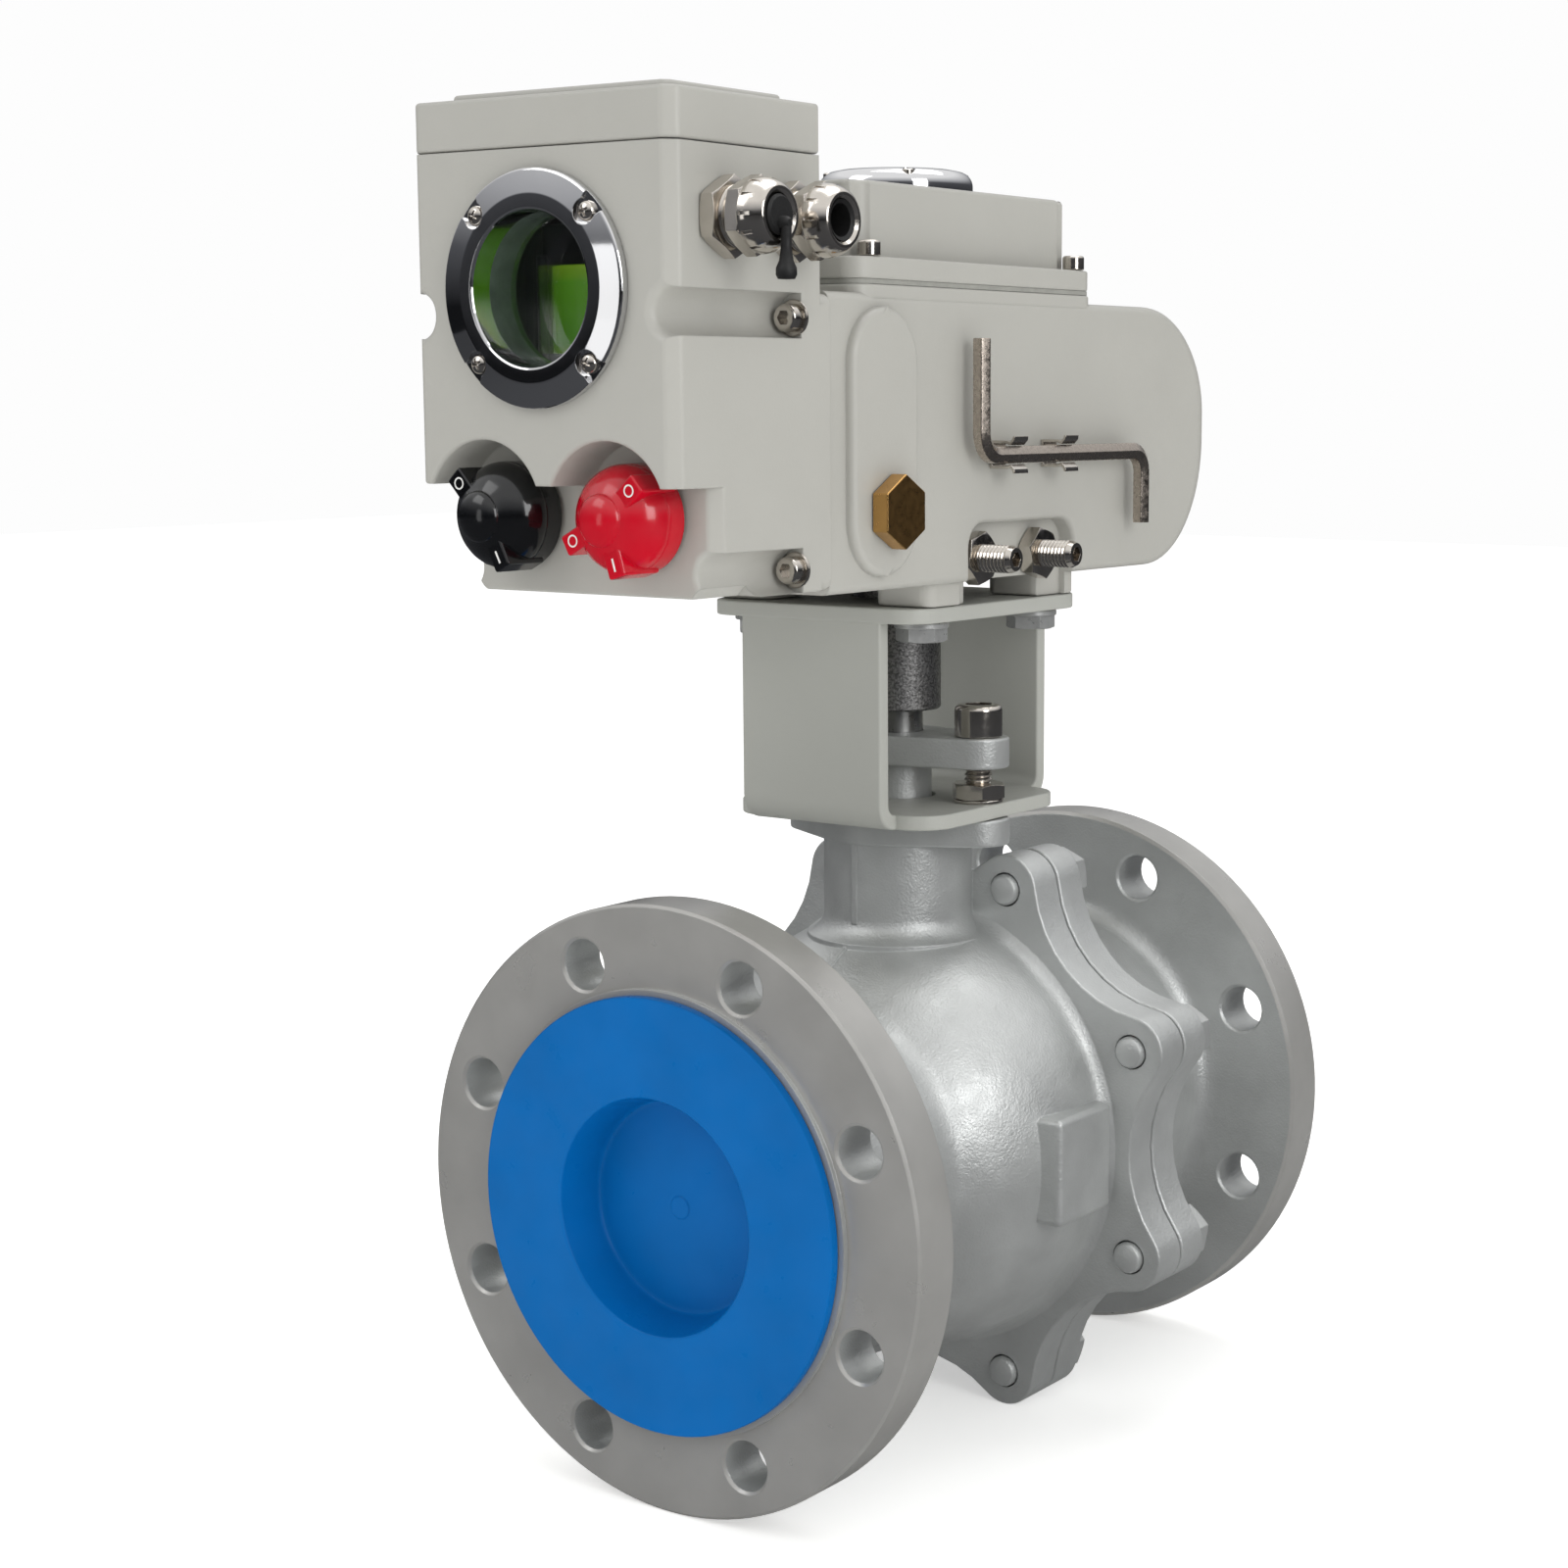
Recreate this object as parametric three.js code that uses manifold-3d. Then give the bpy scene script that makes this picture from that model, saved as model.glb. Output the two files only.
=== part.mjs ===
// Motor-driven DN100 flanged ball valve, modelled piece by piece as it comes apart on a bench.
// Millimetres, +Z up. The pipe axis runs along Y, the stem is vertical, and the valve stands on
// the rims of its pipe flanges at z = 0. Standalone three.js example: needs three and manifold-3d.
import * as THREE from 'three';
import { mergeVertices } from 'three/addons/utils/BufferGeometryUtils.js';
import Module from 'manifold-3d';

const wasm = await Module();
wasm.setup();

// ---------------------------------------------------------------- driving dimensions
const gap = 0.3; // left between pieces that rest on each other
const fine = 36; // sides of the large turned pieces
const medium = 14;
const small = 8;

// pipe flanges: DN100 PN16, 8 holes of 18 on a 180 circle
const flangeR = 107.5;
const flangeT = 20;
const flangeFaceY = 140;
const raisedR = 78.5;
const raisedT = 2;
const boreR = 50;
const flangeHoles = { count: 8, circleR: 90, r: 9 };
const axisZ = flangeR; // height of the pipe axis

// split line of the body, closed by scalloped flanges
const studs = { count: 8, circleR: 102, r: 6 };
const firstStudAngle = Math.PI / 8;
const lobeR = axisZ - studs.circleR * Math.sin(3 * firstStudAngle); // lower lobes reach the floor
const valleyR = 94;
const bodyFlange = [14.5, 30.5];
const adapterFlange = [31.7, 47.5];
const studNut = { acrossFlats: 18, height: 10 };

// barrel, ball and stem
const barrelR = 84.4;
const barrelY = 4;
const hubR = 62;
const cavityR = 76.5;
const ballR = 74;
const seat = { outerR: 60, back: 60, contactR: 74.6 };
const stemR = 9.5;
const packingR = 12.8;
const packingZ = [205, 225];
const neckR = 28;
const isoPad = { bottom: 221, top: 231, midR: 29.5, endR: 12, endX: 36 };
const castPad = { x: 88, y: [-23.5, 12], z: 20 };

// gland flange and its long screws
const gland = { bottom: 249.7, top: 261, midR: 19, endR: 11.4, screwX: 36.5 };

// bracket between valve and actuator
const plateT = 5.5;
const bracket = { z: 231.3, webX: 31, webY: 53.5, plateX: 46, plateY: 45, cornerR: 14, bendR: 8 };
const topPlate = { z: 306, x: 48, y: 56, cornerR: 12 };
const actuatorBolt = { at: 36, r: 5, acrossFlats: 16, headH: 6.4 };
const coupling = { r: 16.3, bottom: 269.5, top: 316, tenon: 9.7, tenonTop: 338 };

// actuator gear housing and cover
const housing = { x: 53, front: -113.3, rear: 147, bottom: 320, top: 419, wall: 6, cornerR: 18 };
const rim = { y: [-95, 54], top: 422, cornerR: 8 };
const sideBoss = { y: -85, z: [325, 414.6], r: 19, x: 56.5 };
const lug = { half: 12, cornerR: 5, bottom: 311.8 };
const stopPocket = { y: [-30, 40], top: 340.4, floorX: 46 };
const stopScrew = { y: 20.2, z: 328, r: 5, tip: 10.6, end: 66, acrossFlats: 17, nutT: 5.6 };
const drainPlug = { y: -83.5, z: 346.8, acrossFlats: 22, threadR: 8, headX: [56.8, 63.3] };
const cover = { x: 45.5, y: [-88, 47], top: 456.5, flange: [423.6, 431], cornerR: 10 };
const coverScrews = { x: 49, y: [-85, 44], r: 2, headR: 3.7, headH: 5.2 };
const indicator = { outerR: 28, innerR: 20, top: 466.5 };

// worm drive inside the housing
const wheel = { teeth: 30, tipR: 27.2, rootR: 24.8, z: [338.8, 354.8] };
const wormAxis = { x: -36.6, z: 346.8, crestR: 9, coreR: 6.2 };
const idlerAxis = { x: -14.2, z: 367.1, tipR: 20, teeth: 30 };
const motorAxis = { x: 13, z: 371.8, r: 31, y: [72.5, 121] };
const pinion = { tipR: 7, teeth: 10 };
const gearRow = [58, 66];

// hexagonal hand crank held in two spring clips
const crank = { x: 60, acrossFlats: 6, y: [-33.5, 76.5], z: 364.6, top: 405, foot: 337.4, bend: 7 };
const clipY = [-14, 20];

// control box on the front of the housing
const box = { x: 54.5, front: -193, recessed: -173.2, rear: -119, rim: -113.6, chamfer: 4 };
const boxZ = { bottom: 322, step: 357, rimTop: 418, seam: 461.2, lidTop: 477.3, panel: 480 };
const boxWall = 5;
const boxCavityX = 42;
const knob = { x: 25.5, z: 347, r: 17.4, archR: 24.3, back: -174.4, tip: -198.5, shaftR: 4 };
const knobTab = { inner: 7, proud: 0.9, half: 3.4, front: -193.2, back: -177 };
const knobTabs = { black: [133, 297], red: [41, 208, 287] }; // degrees from the +X side
const channel = { x: 53, z: 410.5, r: 7.3, floorY: -132, lowZ: 329.4 };
const windowRing = { z: 418, r: 37, innerR: 24, sleeveR: 29.6, front: -197.4, back: -177 };
const display = { x: 26, y: [-171, -160], z: [396, 436] };
const cableGland = { y: [-169.5, -137.2], z: 439.3, boreR: 6.6, end: 77.5 };

// blue transport caps in the pipe ends
const cap = { r: 76.6, front: 146, plugR: 49.4, recessR: 41.5, floorR: 38, depth: 17, wall: 3 };

// the origin sits under the middle of the object's overall box
const originY = -(knob.tip + housing.rear) / 2;

// ---------------------------------------------------------------- solids from three.js shapes
// A closed geometry as a solid: positions merged, empty triangles dropped, faces turned outwards.
function solid(geometry) {
  const bare = geometry.clone();
  for (const name of Object.keys(bare.attributes)) {
    if (name !== 'position') bare.deleteAttribute(name);
  }
  const merged = mergeVertices(bare, 1e-4);
  const position = merged.attributes.position;
  const index = merged.index.array;
  const corners = [0, 1, 2].map(() => new THREE.Vector3());
  const kept = [];
  let volume = 0;
  for (let i = 0; i < index.length; i += 3) {
    const [a, b, c] = [index[i], index[i + 1], index[i + 2]];
    if (a === b || b === c || c === a) continue;
    corners.forEach((corner, k) => corner.fromBufferAttribute(position, index[i + k]));
    volume += corners[0].dot(corners[1].clone().cross(corners[2]));
    kept.push([a, b, c]);
  }
  const triVerts = kept.flatMap(([a, b, c]) => (volume < 0 ? [a, c, b] : [a, b, c]));
  return new wasm.Manifold(new wasm.Mesh({
    numProp: 3,
    vertProperties: new Float32Array(position.array),
    triVerts: new Uint32Array(triVerts),
  }));
}

// Turns a geometry made along Y, or a shape extruded along Z, onto the named axis.
function alongAxis(geometry, axis) {
  if (axis === 'x') geometry.rotateZ(-Math.PI / 2);
  if (axis === 'z') geometry.rotateX(Math.PI / 2);
  return geometry;
}

// A round bar or cone along an axis. at holds the other two coordinates, in x, y, z order.
function rod(axis, r, from, to, at = [0, 0], sides = medium, endR = r) {
  const geometry = alongAxis(new THREE.CylinderGeometry(endR, r, to - from, sides), axis);
  const middle = (from + to) / 2;
  const centre = { x: [middle, ...at], y: [at[0], middle, at[1]], z: [...at, middle] }[axis];
  return solid(geometry.translate(...centre));
}

function block([x0, x1], [y0, y1], [z0, z1]) {
  const geometry = new THREE.BoxGeometry(x1 - x0, y1 - y0, z1 - z0);
  return solid(geometry.translate((x0 + x1) / 2, (y0 + y1) / 2, (z0 + z1) / 2));
}

// Extrudes an outline: on axis x it is drawn in (y, z), on y in (x, z) and on z in (x, y).
function slab(axis, shape, from, to, curveSegments = 8) {
  const options = { depth: to - from, bevelEnabled: false, curveSegments };
  const geometry = new THREE.ExtrudeGeometry(shape, options);
  if (axis === 'x') {
    geometry.applyMatrix4(new THREE.Matrix4().set(0, 0, 1, from, 1, 0, 0, 0, 0, 1, 0, 0, 0, 0, 0, 1));
  } else if (axis === 'y') {
    geometry.rotateX(Math.PI / 2).translate(0, to, 0);
  } else {
    geometry.translate(0, 0, from);
  }
  return solid(geometry);
}

// Turns a closed [radius, station] profile round an axis through at.
function turned(axis, profile, at = [0, 0], sides = fine) {
  const points = [...profile, profile[0]].map(([r, s]) => new THREE.Vector2(r, s));
  const geometry = alongAxis(new THREE.LatheGeometry(points, sides), axis);
  const centre = { x: [0, ...at], y: [at[0], 0, at[1]], z: [...at, 0] }[axis];
  return solid(geometry.translate(...centre));
}

// Points of a sphere's profile round Y, between two stations.
function spherePoints(r, centreY, y0, y1, steps) {
  const angle = (y) => Math.acos((y - centreY) / r);
  const [a0, a1] = [angle(y0), angle(y1)];
  return Array.from({ length: steps + 1 }, (_, i) => {
    const a = a0 + ((a1 - a0) * i) / steps;
    return [r * Math.sin(a), centreY + r * Math.cos(a)];
  });
}

function join(first, ...rest) {
  return rest.reduce((whole, piece) => whole.add(piece), first);
}

function cut(first, ...rest) {
  return rest.reduce((whole, piece) => whole.subtract(piece), first);
}

// ---------------------------------------------------------------- outlines
function roundedRect([x0, x1], [y0, y1], r) {
  const shape = new THREE.Shape();
  shape.absarc(x1 - r, y1 - r, r, 0, Math.PI / 2);
  shape.absarc(x0 + r, y1 - r, r, Math.PI / 2, Math.PI);
  shape.absarc(x0 + r, y0 + r, r, Math.PI, 1.5 * Math.PI);
  shape.absarc(x1 - r, y0 + r, r, 1.5 * Math.PI, 2 * Math.PI);
  return shape;
}

function chamferedRect([x0, x1], [y0, y1], c) {
  return new THREE.Shape([[x0 + c, y0], [x1 - c, y0], [x1, y0 + c], [x1, y1 - c],
    [x1 - c, y1], [x0 + c, y1], [x0, y1 - c], [x0, y0 + c]].map(([x, y]) => new THREE.Vector2(x, y)));
}

function polygon(points) {
  return new THREE.Shape(points.map(([x, y]) => new THREE.Vector2(x, y)));
}

function hexagon(acrossFlats, [x, y] = [0, 0], turn = 0) {
  const r = acrossFlats / Math.sqrt(3);
  return polygon(Array.from({ length: 6 }, (_, i) => {
    const a = turn + (i * Math.PI) / 3;
    return [x + r * Math.cos(a), y + r * Math.sin(a)];
  }));
}

// Two round ends joined to a round middle by tangent lines, as on a gland flange.
function ovalFlange(midR, endR, endX) {
  const touch = Math.acos((midR - endR) / endX);
  const shape = new THREE.Shape();
  shape.absarc(endX, 0, endR, -touch, touch);
  shape.absarc(0, 0, midR, touch, Math.PI - touch);
  shape.absarc(-endX, 0, endR, Math.PI - touch, Math.PI + touch);
  shape.absarc(0, 0, midR, Math.PI + touch, 2 * Math.PI - touch);
  return shape;
}

// A flange scalloped between its studs: each lobe runs into hollow arcs tangent to it.
function scallopedFlange() {
  const half = Math.PI / studs.count;
  const across = studs.circleR * Math.cos(half);
  const gain = studs.circleR ** 2 + valleyR ** 2 - 2 * valleyR * across - lobeR ** 2;
  const hollowR = gain / (2 * (lobeR - valleyR + across));
  const hollowAt = valleyR + hollowR;
  const rise = studs.circleR * Math.sin(half);
  const lean = Math.atan2(rise, hollowAt - across);
  const shape = new THREE.Shape();
  for (let i = 0; i < studs.count; i += 1) {
    const stud = firstStudAngle + i * 2 * half;
    const [x, y] = [studs.circleR * Math.cos(stud), studs.circleR * Math.sin(stud)];
    const swing = half + lean;
    shape.absarc(x, y, lobeR, stud - swing, stud + swing);
    const valley = stud + half;
    const [cx, cy] = [hollowAt * Math.cos(valley), hollowAt * Math.sin(valley)];
    shape.absarc(cx, cy, hollowR, valley + Math.PI + lean, valley + Math.PI - lean, true);
  }
  return shape;
}

function gearOutline(teeth, tipR, rootR) {
  const pitch = (2 * Math.PI) / teeth;
  return polygon(Array.from({ length: teeth * 4 }, (_, i) => {
    const step = [0, 0.3, 0.45, 0.85][i % 4];
    const r = i % 4 < 2 ? tipR : rootR;
    const a = (Math.floor(i / 4) + step) * pitch;
    return [r * Math.cos(a), r * Math.sin(a)];
  }));
}

// The housing seen from the side, with its drum-shaped rear end, drawn in (y, z).
function housingSide(inset) {
  const [bottom, top] = [housing.bottom + inset, housing.top - inset];
  const [front, rear] = [housing.front + inset, housing.rear - inset];
  const [lowY, lowZ, highY, highZ] = [95, 368, 92, 378];
  const shape = new THREE.Shape();
  shape.moveTo(front, bottom);
  shape.lineTo(lowY, bottom);
  shape.absellipse(lowY, lowZ, rear - lowY, lowZ - bottom, 1.5 * Math.PI, 2 * Math.PI, false);
  shape.absellipse(highY, highZ, rear - highY, top - highZ, 0, Math.PI / 2, false);
  shape.lineTo(front, top);
  return shape;
}

function housingForm(inset) {
  const x = housing.x - inset;
  const plan = roundedRect([-x, x], [housing.front - 40, housing.rear - inset], housing.cornerR - inset);
  const side = slab('x', housingSide(inset), -x, x, 5);
  return side.intersect(slab('z', plan, housing.bottom, housing.top, 3));
}

// ---------------------------------------------------------------- valve
function roundTheAxis(count, circleR, make) {
  return Array.from({ length: count }, (_, i) => {
    const a = firstStudAngle + (i * 2 * Math.PI) / count;
    return make([circleR * Math.cos(a), axisZ + circleR * Math.sin(a)], i);
  });
}

function boltHoles(from, to) {
  const { count, circleR, r } = flangeHoles;
  return roundTheAxis(count, circleR, (at) => rod('y', r, from, to, at, 12));
}

function studHoles(from, to) {
  return roundTheAxis(studs.count, studs.circleR, (at) => rod('y', studs.r + 0.4, from, to, at, small));
}

function lobes([from, to]) {
  return slab('y', scallopedFlange(), from, to, 3).translate([0, 0, axisZ]);
}

function valveBody() {
  const face = -flangeFaceY;
  const meet = barrelY - Math.sqrt(barrelR ** 2 - hubR ** 2);
  const pocketR = seat.outerR + gap;
  const cavityMouth = -Math.sqrt(cavityR ** 2 - pocketR ** 2);
  const shell = turned('y', [
    [boreR, face - raisedT], [raisedR, face - raisedT], [raisedR, face],
    [flangeR - 1, face], [flangeR, face + 1], [flangeR, face + flangeT - 1],
    [flangeR - 1, face + flangeT], [hubR + 5, face + flangeT], [hubR, face + flangeT + 8],
    ...spherePoints(barrelR, barrelY, meet, barrelY + 5, 5), [90, bodyFlange[0]],
    [valleyR - 3, bodyFlange[0] + 1], [valleyR - 3, bodyFlange[1]], [cavityR, bodyFlange[1]],
    ...spherePoints(cavityR, 0, 0, cavityMouth, 3),
    [pocketR, -seat.back - gap], [boreR, -seat.back - gap],
  ], [0, axisZ]);
  const neck = rod('z', neckR, axisZ + cavityR + 1, isoPad.bottom + 1, [0, 0], 20);
  const pad = slab('z', ovalFlange(isoPad.midR, isoPad.endR, isoPad.endX), isoPad.bottom, isoPad.top);
  const [padY, padZ] = [castPad.y, [axisZ - castPad.z, axisZ + castPad.z]];
  const whole = join(shell, lobes(bodyFlange), neck, pad,
    block([77, castPad.x], padY, padZ), block([-castPad.x, -77], padY, padZ));
  return cut(whole, rod('y', cavityR, 0, bodyFlange[1] + 1, [0, axisZ], fine),
    rod('z', stemR + gap, axisZ, isoPad.top + 1), rod('z', 13, axisZ + 60, 189.3),
    rod('z', packingR + gap, packingZ[0], isoPad.top + 1),
    rod('z', 5.6, 224, isoPad.top + 1, [gland.screwX, 0], small),
    rod('z', 5.6, 224, isoPad.top + 1, [-gland.screwX, 0], small),
    ...boltHoles(face - 1, face + flangeT + 1), ...studHoles(bodyFlange[0] - 6, bodyFlange[1] + 1));
}

function endAdapter() {
  const face = flangeFaceY;
  const pocketR = seat.outerR + gap;
  const cavityMouth = Math.sqrt(cavityR ** 2 - pocketR ** 2);
  const spigotY = 22;
  const shell = turned('y', [
    [boreR, face + raisedT], [raisedR, face + raisedT], [raisedR, face],
    [flangeR - 1, face], [flangeR, face - 1], [flangeR, face - flangeT + 1],
    [flangeR - 1, face - flangeT], [hubR + 12, face - flangeT], [hubR + 4, face - flangeT - 8],
    [hubR + 8, 62], [77, adapterFlange[1] - 1], [valleyR - 3, adapterFlange[1] - 1],
    [valleyR - 3, adapterFlange[0]], [cavityR - 0.4, adapterFlange[0]], [cavityR - 0.4, spigotY],
    ...spherePoints(cavityR, 0, spigotY, cavityMouth, 3),
    [pocketR, seat.back + gap], [boreR, seat.back + gap],
  ], [0, axisZ]);
  const ring = cut(lobes(adapterFlange),
    rod('y', cavityR + 2, adapterFlange[0] - 1, adapterFlange[1] + 1, [0, axisZ], fine));
  return cut(join(shell, ring), ...boltHoles(face - flangeT - 1, face + 1),
    ...studHoles(adapterFlange[0] - 1, adapterFlange[1] + 5));
}

function bodyGasket() {
  return turned('y', [[78, 30.8], [90, 30.8], [90, 31.4], [78, 31.4]], [0, axisZ], fine);
}

function seatRing(side) {
  const reach = (r) => side * Math.sqrt(seat.contactR ** 2 - r ** 2);
  return turned('y', [[boreR, side * seat.back], [seat.outerR, side * seat.back],
    [seat.outerR, reach(seat.outerR)], [boreR, reach(boreR)]], [0, axisZ]);
}

function ball() {
  const sphere = solid(new THREE.SphereGeometry(ballR, 28, 16).translate(0, 0, axisZ));
  return cut(sphere, rod('y', boreR, -ballR, ballR, [0, axisZ], fine),
    block([-40, 40], [-6.3, 6.3], [axisZ + 64, axisZ + 90]));
}

function valveStem() {
  return join(rod('z', stemR, 182.2, 291, [0, 0]), rod('z', 12.6, 184, 189, [0, 0]),
    block([-9.2, 9.2], [-6, 6], [axisZ + 64.4, 183]));
}

function stemPacking() {
  return turned('z', [[stemR + gap, packingZ[0] + gap], [packingR, packingZ[0] + gap],
    [packingR, packingZ[1]], [stemR + gap, packingZ[1]]], [0, 0], medium);
}

function glandFlange() {
  const plate = slab('z', ovalFlange(gland.midR, gland.endR, gland.screwX), gland.bottom, gland.top);
  return cut(join(plate, rod('z', packingR, packingZ[1] + gap, gland.bottom + 1)),
    rod('z', stemR + gap, packingZ[1], gland.top + 1),
    rod('z', 6.4, gland.bottom - 1, gland.top + 1, [gland.screwX, 0], small),
    rod('z', 6.4, gland.bottom - 1, gland.top + 1, [-gland.screwX, 0], small));
}

// A socket-head screw through the gland flange, with the nut that clamps the bracket down.
function glandScrew(side) {
  const at = [side * gland.screwX, 0];
  const nutZ = bracket.z + plateT + gap;
  const shape = join(rod('z', 5.2, 225, gland.top + 2, at, small),
    rod('z', 8.2, gland.top + gap, gland.top + gap + 11.5, at, medium),
    slab('z', hexagon(18, at, Math.PI / 6), nutZ, nutZ + 6.8));
  return cut(shape, slab('z', hexagon(8, at), gland.top + 6, gland.top + 20));
}

function bodyStud(at) {
  const nutY = adapterFlange[1] + gap;
  return join(rod('y', studs.r, bodyFlange[0] - 3, nutY + studNut.height + 3.5, at, small),
    slab('y', hexagon(studNut.acrossFlats, at, Math.PI / 6), nutY, nutY + studNut.height));
}

function portCap(side) {
  const face = side * (flangeFaceY + raisedT + gap);
  const front = side * cap.front;
  const floor = side * (cap.front - cap.depth);
  const inner = side * (cap.front - cap.depth - cap.wall);
  return turned('y', [[0, inner], [cap.plugR - 4, inner], [cap.plugR, floor], [cap.plugR, face],
    [cap.r, face], [cap.r, front - side * 0.8], [cap.r - 0.8, front], [cap.recessR, front],
    [cap.floorR, floor], [0, floor + side * 1.5]], [0, axisZ]);
}

// ---------------------------------------------------------------- bracket and coupling
function atFourBolts(make) {
  const a = actuatorBolt.at;
  return [[-a, -a], [a, -a], [-a, a], [a, a]].map(make);
}

// Bent sheet with a base and two webs, and the actuator plate welded across the webs.
function bracketWeldment() {
  const { z, webX, webY, plateX, plateY, cornerR, bendR } = bracket;
  const top = topPlate.z;
  const section = cut(slab('x', roundedRect([-webY, webY], [z, top + 20], bendR), -webX, webX, 4),
    slab('x', roundedRect([plateT - webY, webY - plateT], [z + plateT, top + 30], 3), -webX - 1, webX + 1, 3),
    block([-webX - 1, webX + 1], [-webY - 1, webY + 1], [top + 1, top + 40]));
  const base = slab('z', roundedRect([-plateX, plateX], [-plateY, plateY], cornerR), z, z + plateT, 5);
  const upper = slab('z', roundedRect([-topPlate.x, topPlate.x], [-topPlate.y, topPlate.y], topPlate.cornerR),
    top, top + plateT, 5);
  return cut(join(section, base, upper), rod('z', packingR + 1.5, z - 1, z + plateT + 1),
    rod('z', coupling.r + 1, top - 1, top + plateT + 1),
    ...atFourBolts((at) => rod('z', actuatorBolt.r + gap, top - 1, top + plateT + 1, at, small)),
    rod('z', 6, z - 1, z + plateT + 1, [gland.screwX, 0], small),
    rod('z', 6, z - 1, z + plateT + 1, [-gland.screwX, 0], small));
}

function plateBolt(at) {
  const head = topPlate.z - gap;
  return join(rod('z', actuatorBolt.r, head - 1, 324, at, small),
    slab('z', hexagon(actuatorBolt.acrossFlats, at, Math.PI / 6), head - actuatorBolt.headH, head));
}

function driveCoupling() {
  const { r, bottom, top, tenon, tenonTop } = coupling;
  const shape = join(rod('z', r, bottom, top, [0, 0], 20),
    block([-tenon, tenon], [-tenon, tenon], [top - 1, tenonTop]));
  return cut(shape, rod('z', stemR + gap, bottom - 1, 291.4));
}

// ---------------------------------------------------------------- actuator
function gearHousing() {
  const { x, wall, top } = housing;
  const { y: [stopY0, stopY1], top: stopTop, floorX } = stopPocket;
  const screwPlaces = coverScrews.y.flatMap((y) => [[-coverScrews.x, y], [coverScrews.x, y]]);
  const hollow = housingForm(wall);
  const shell = cut(housingForm(0), hollow);
  const bossZ = sideBoss.z;
  const boss = slab('x', roundedRect([sideBoss.y - sideBoss.r, sideBoss.y + sideBoss.r], bossZ, sideBoss.r),
    x - wall + 1, sideBoss.x, 6);
  const whole = join(shell, boss, block([floorX - 6, x - 1], [stopY0 - 5, stopY1 + 5],
    [housing.bottom + 1, stopTop + 5]),
  slab('z', roundedRect([-x, x], rim.y, rim.cornerR), top - 1, rim.top, 3),
  ...atFourBolts(([bx, by]) => slab('z', roundedRect([bx - lug.half, bx + lug.half],
    [by - lug.half, by + lug.half], lug.cornerR), lug.bottom, housing.bottom + 1, 3)));
  return cut(whole,
    slab('x', roundedRect(stopPocket.y, [housing.bottom - 20, stopTop], 8), floorX, x + 1, 4),
    block([-42, 42], [-84, 42], [top - wall - 1, rim.top + 1]),
    rod('z', coupling.r + 0.9, housing.bottom - 1, housing.bottom + wall + 1, [0, 0], 20),
    rod('x', drainPlug.threadR + gap, x - wall - 1, sideBoss.x + 1, [drainPlug.y, drainPlug.z], 16),
    rod('y', 12, housing.front - 1, housing.front + wall + 1, [0, 370], 16),
    ...[-1, 1].map((s) => rod('x', stopScrew.r + gap, stopScrew.tip, x, [s * stopScrew.y, stopScrew.z], 16)),
    ...atFourBolts((at) => rod('z', actuatorBolt.r + gap, lug.bottom - 1, 324.6, at, small)),
    ...screwPlaces.map((at) => rod('z', coverScrews.r + gap, 414, rim.top + 1, at, 8)));
}

function coverGasket() {
  const ring = slab('z', roundedRect([1 - housing.x, housing.x - 1], [rim.y[0] + 1, rim.y[1] - 1], 7),
    rim.top + gap, cover.flange[0] - gap, 3);
  const places = coverScrews.y.flatMap((y) => [[-coverScrews.x, y], [coverScrews.x, y]]);
  return cut(ring, block([-43, 43], [-84, 43], [rim.top, rim.top + 3]),
    ...places.map((at) => rod('z', coverScrews.r + gap, rim.top, rim.top + 3, at, 8)));
}

function topCover() {
  const { x, y, top, flange, cornerR } = cover;
  const places = coverScrews.y.flatMap((sy) => [[-coverScrews.x, sy], [coverScrews.x, sy]]);
  const flangePlate = slab('z', roundedRect([-housing.x, housing.x], rim.y, rim.cornerR), ...flange, 4);
  const hood = cut(slab('z', roundedRect([-x, x], y, cornerR), flange[1] - 1, top, 5),
    ...places.map((at) => rod('z', 6, flange[1], top + 1, at, 20)));
  const inside = block([4.5 - x, x - 4.5], [y[0] + 8, y[1] - 8], [flange[0] - 1, top - 4]);
  return cut(join(flangePlate, hood), inside,
    rod('z', indicator.innerR + 1, top - 6, top + 1, [0, 0], 20),
    ...places.map((at) => rod('z', coverScrews.r + gap, flange[0] - 1, flange[1] + 1, at, 8)));
}

function coverScrew(at) {
  const seatZ = cover.flange[1] + gap;
  const shape = join(rod('z', coverScrews.r, 415, seatZ + 1, at, 8),
    rod('z', coverScrews.headR, seatZ, seatZ + coverScrews.headH, at, 16));
  return cut(shape, slab('z', hexagon(3.4, at), seatZ + 2.2, seatZ + 9));
}

function indicatorBezel() {
  const { outerR, innerR, top } = indicator;
  const foot = cover.top + gap;
  return turned('z', [[innerR, foot], [outerR, foot], [outerR, foot + 2.5], [outerR - 2, foot + 6.5],
    [outerR - 4.5, top], [innerR, top]], [0, 0], 28);
}

function indicatorLens() {
  const r = indicator.innerR - gap;
  return turned('z', [[0, 458], [r, 458], [r, 462], [r * 0.6, 464.6], [0, 465.6]], [0, 0], 20);
}

function indicatorDial() {
  const disc = rod('z', 17.5, 453.4, 455.4, [0, 0], 20);
  return join(disc, block([-14, 14], [-2.5, 2.5], [455, 456.6]));
}

// Output shaft with the square socket below and the two-armed stop cam at the limit screws.
function outputShaft() {
  const armZ = [326.4, 333];
  const shape = join(rod('z', 16, 317, 361, [0, 0], 20), rod('z', 8, 360, 453.1, [0, 0]),
    block([-10, 10], [-30, 0], armZ), block([-30, 0], [-10, 10], armZ));
  return cut(shape, block([-10, 10], [-10, 10], [316, coupling.tenonTop + 0.5]));
}

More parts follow.
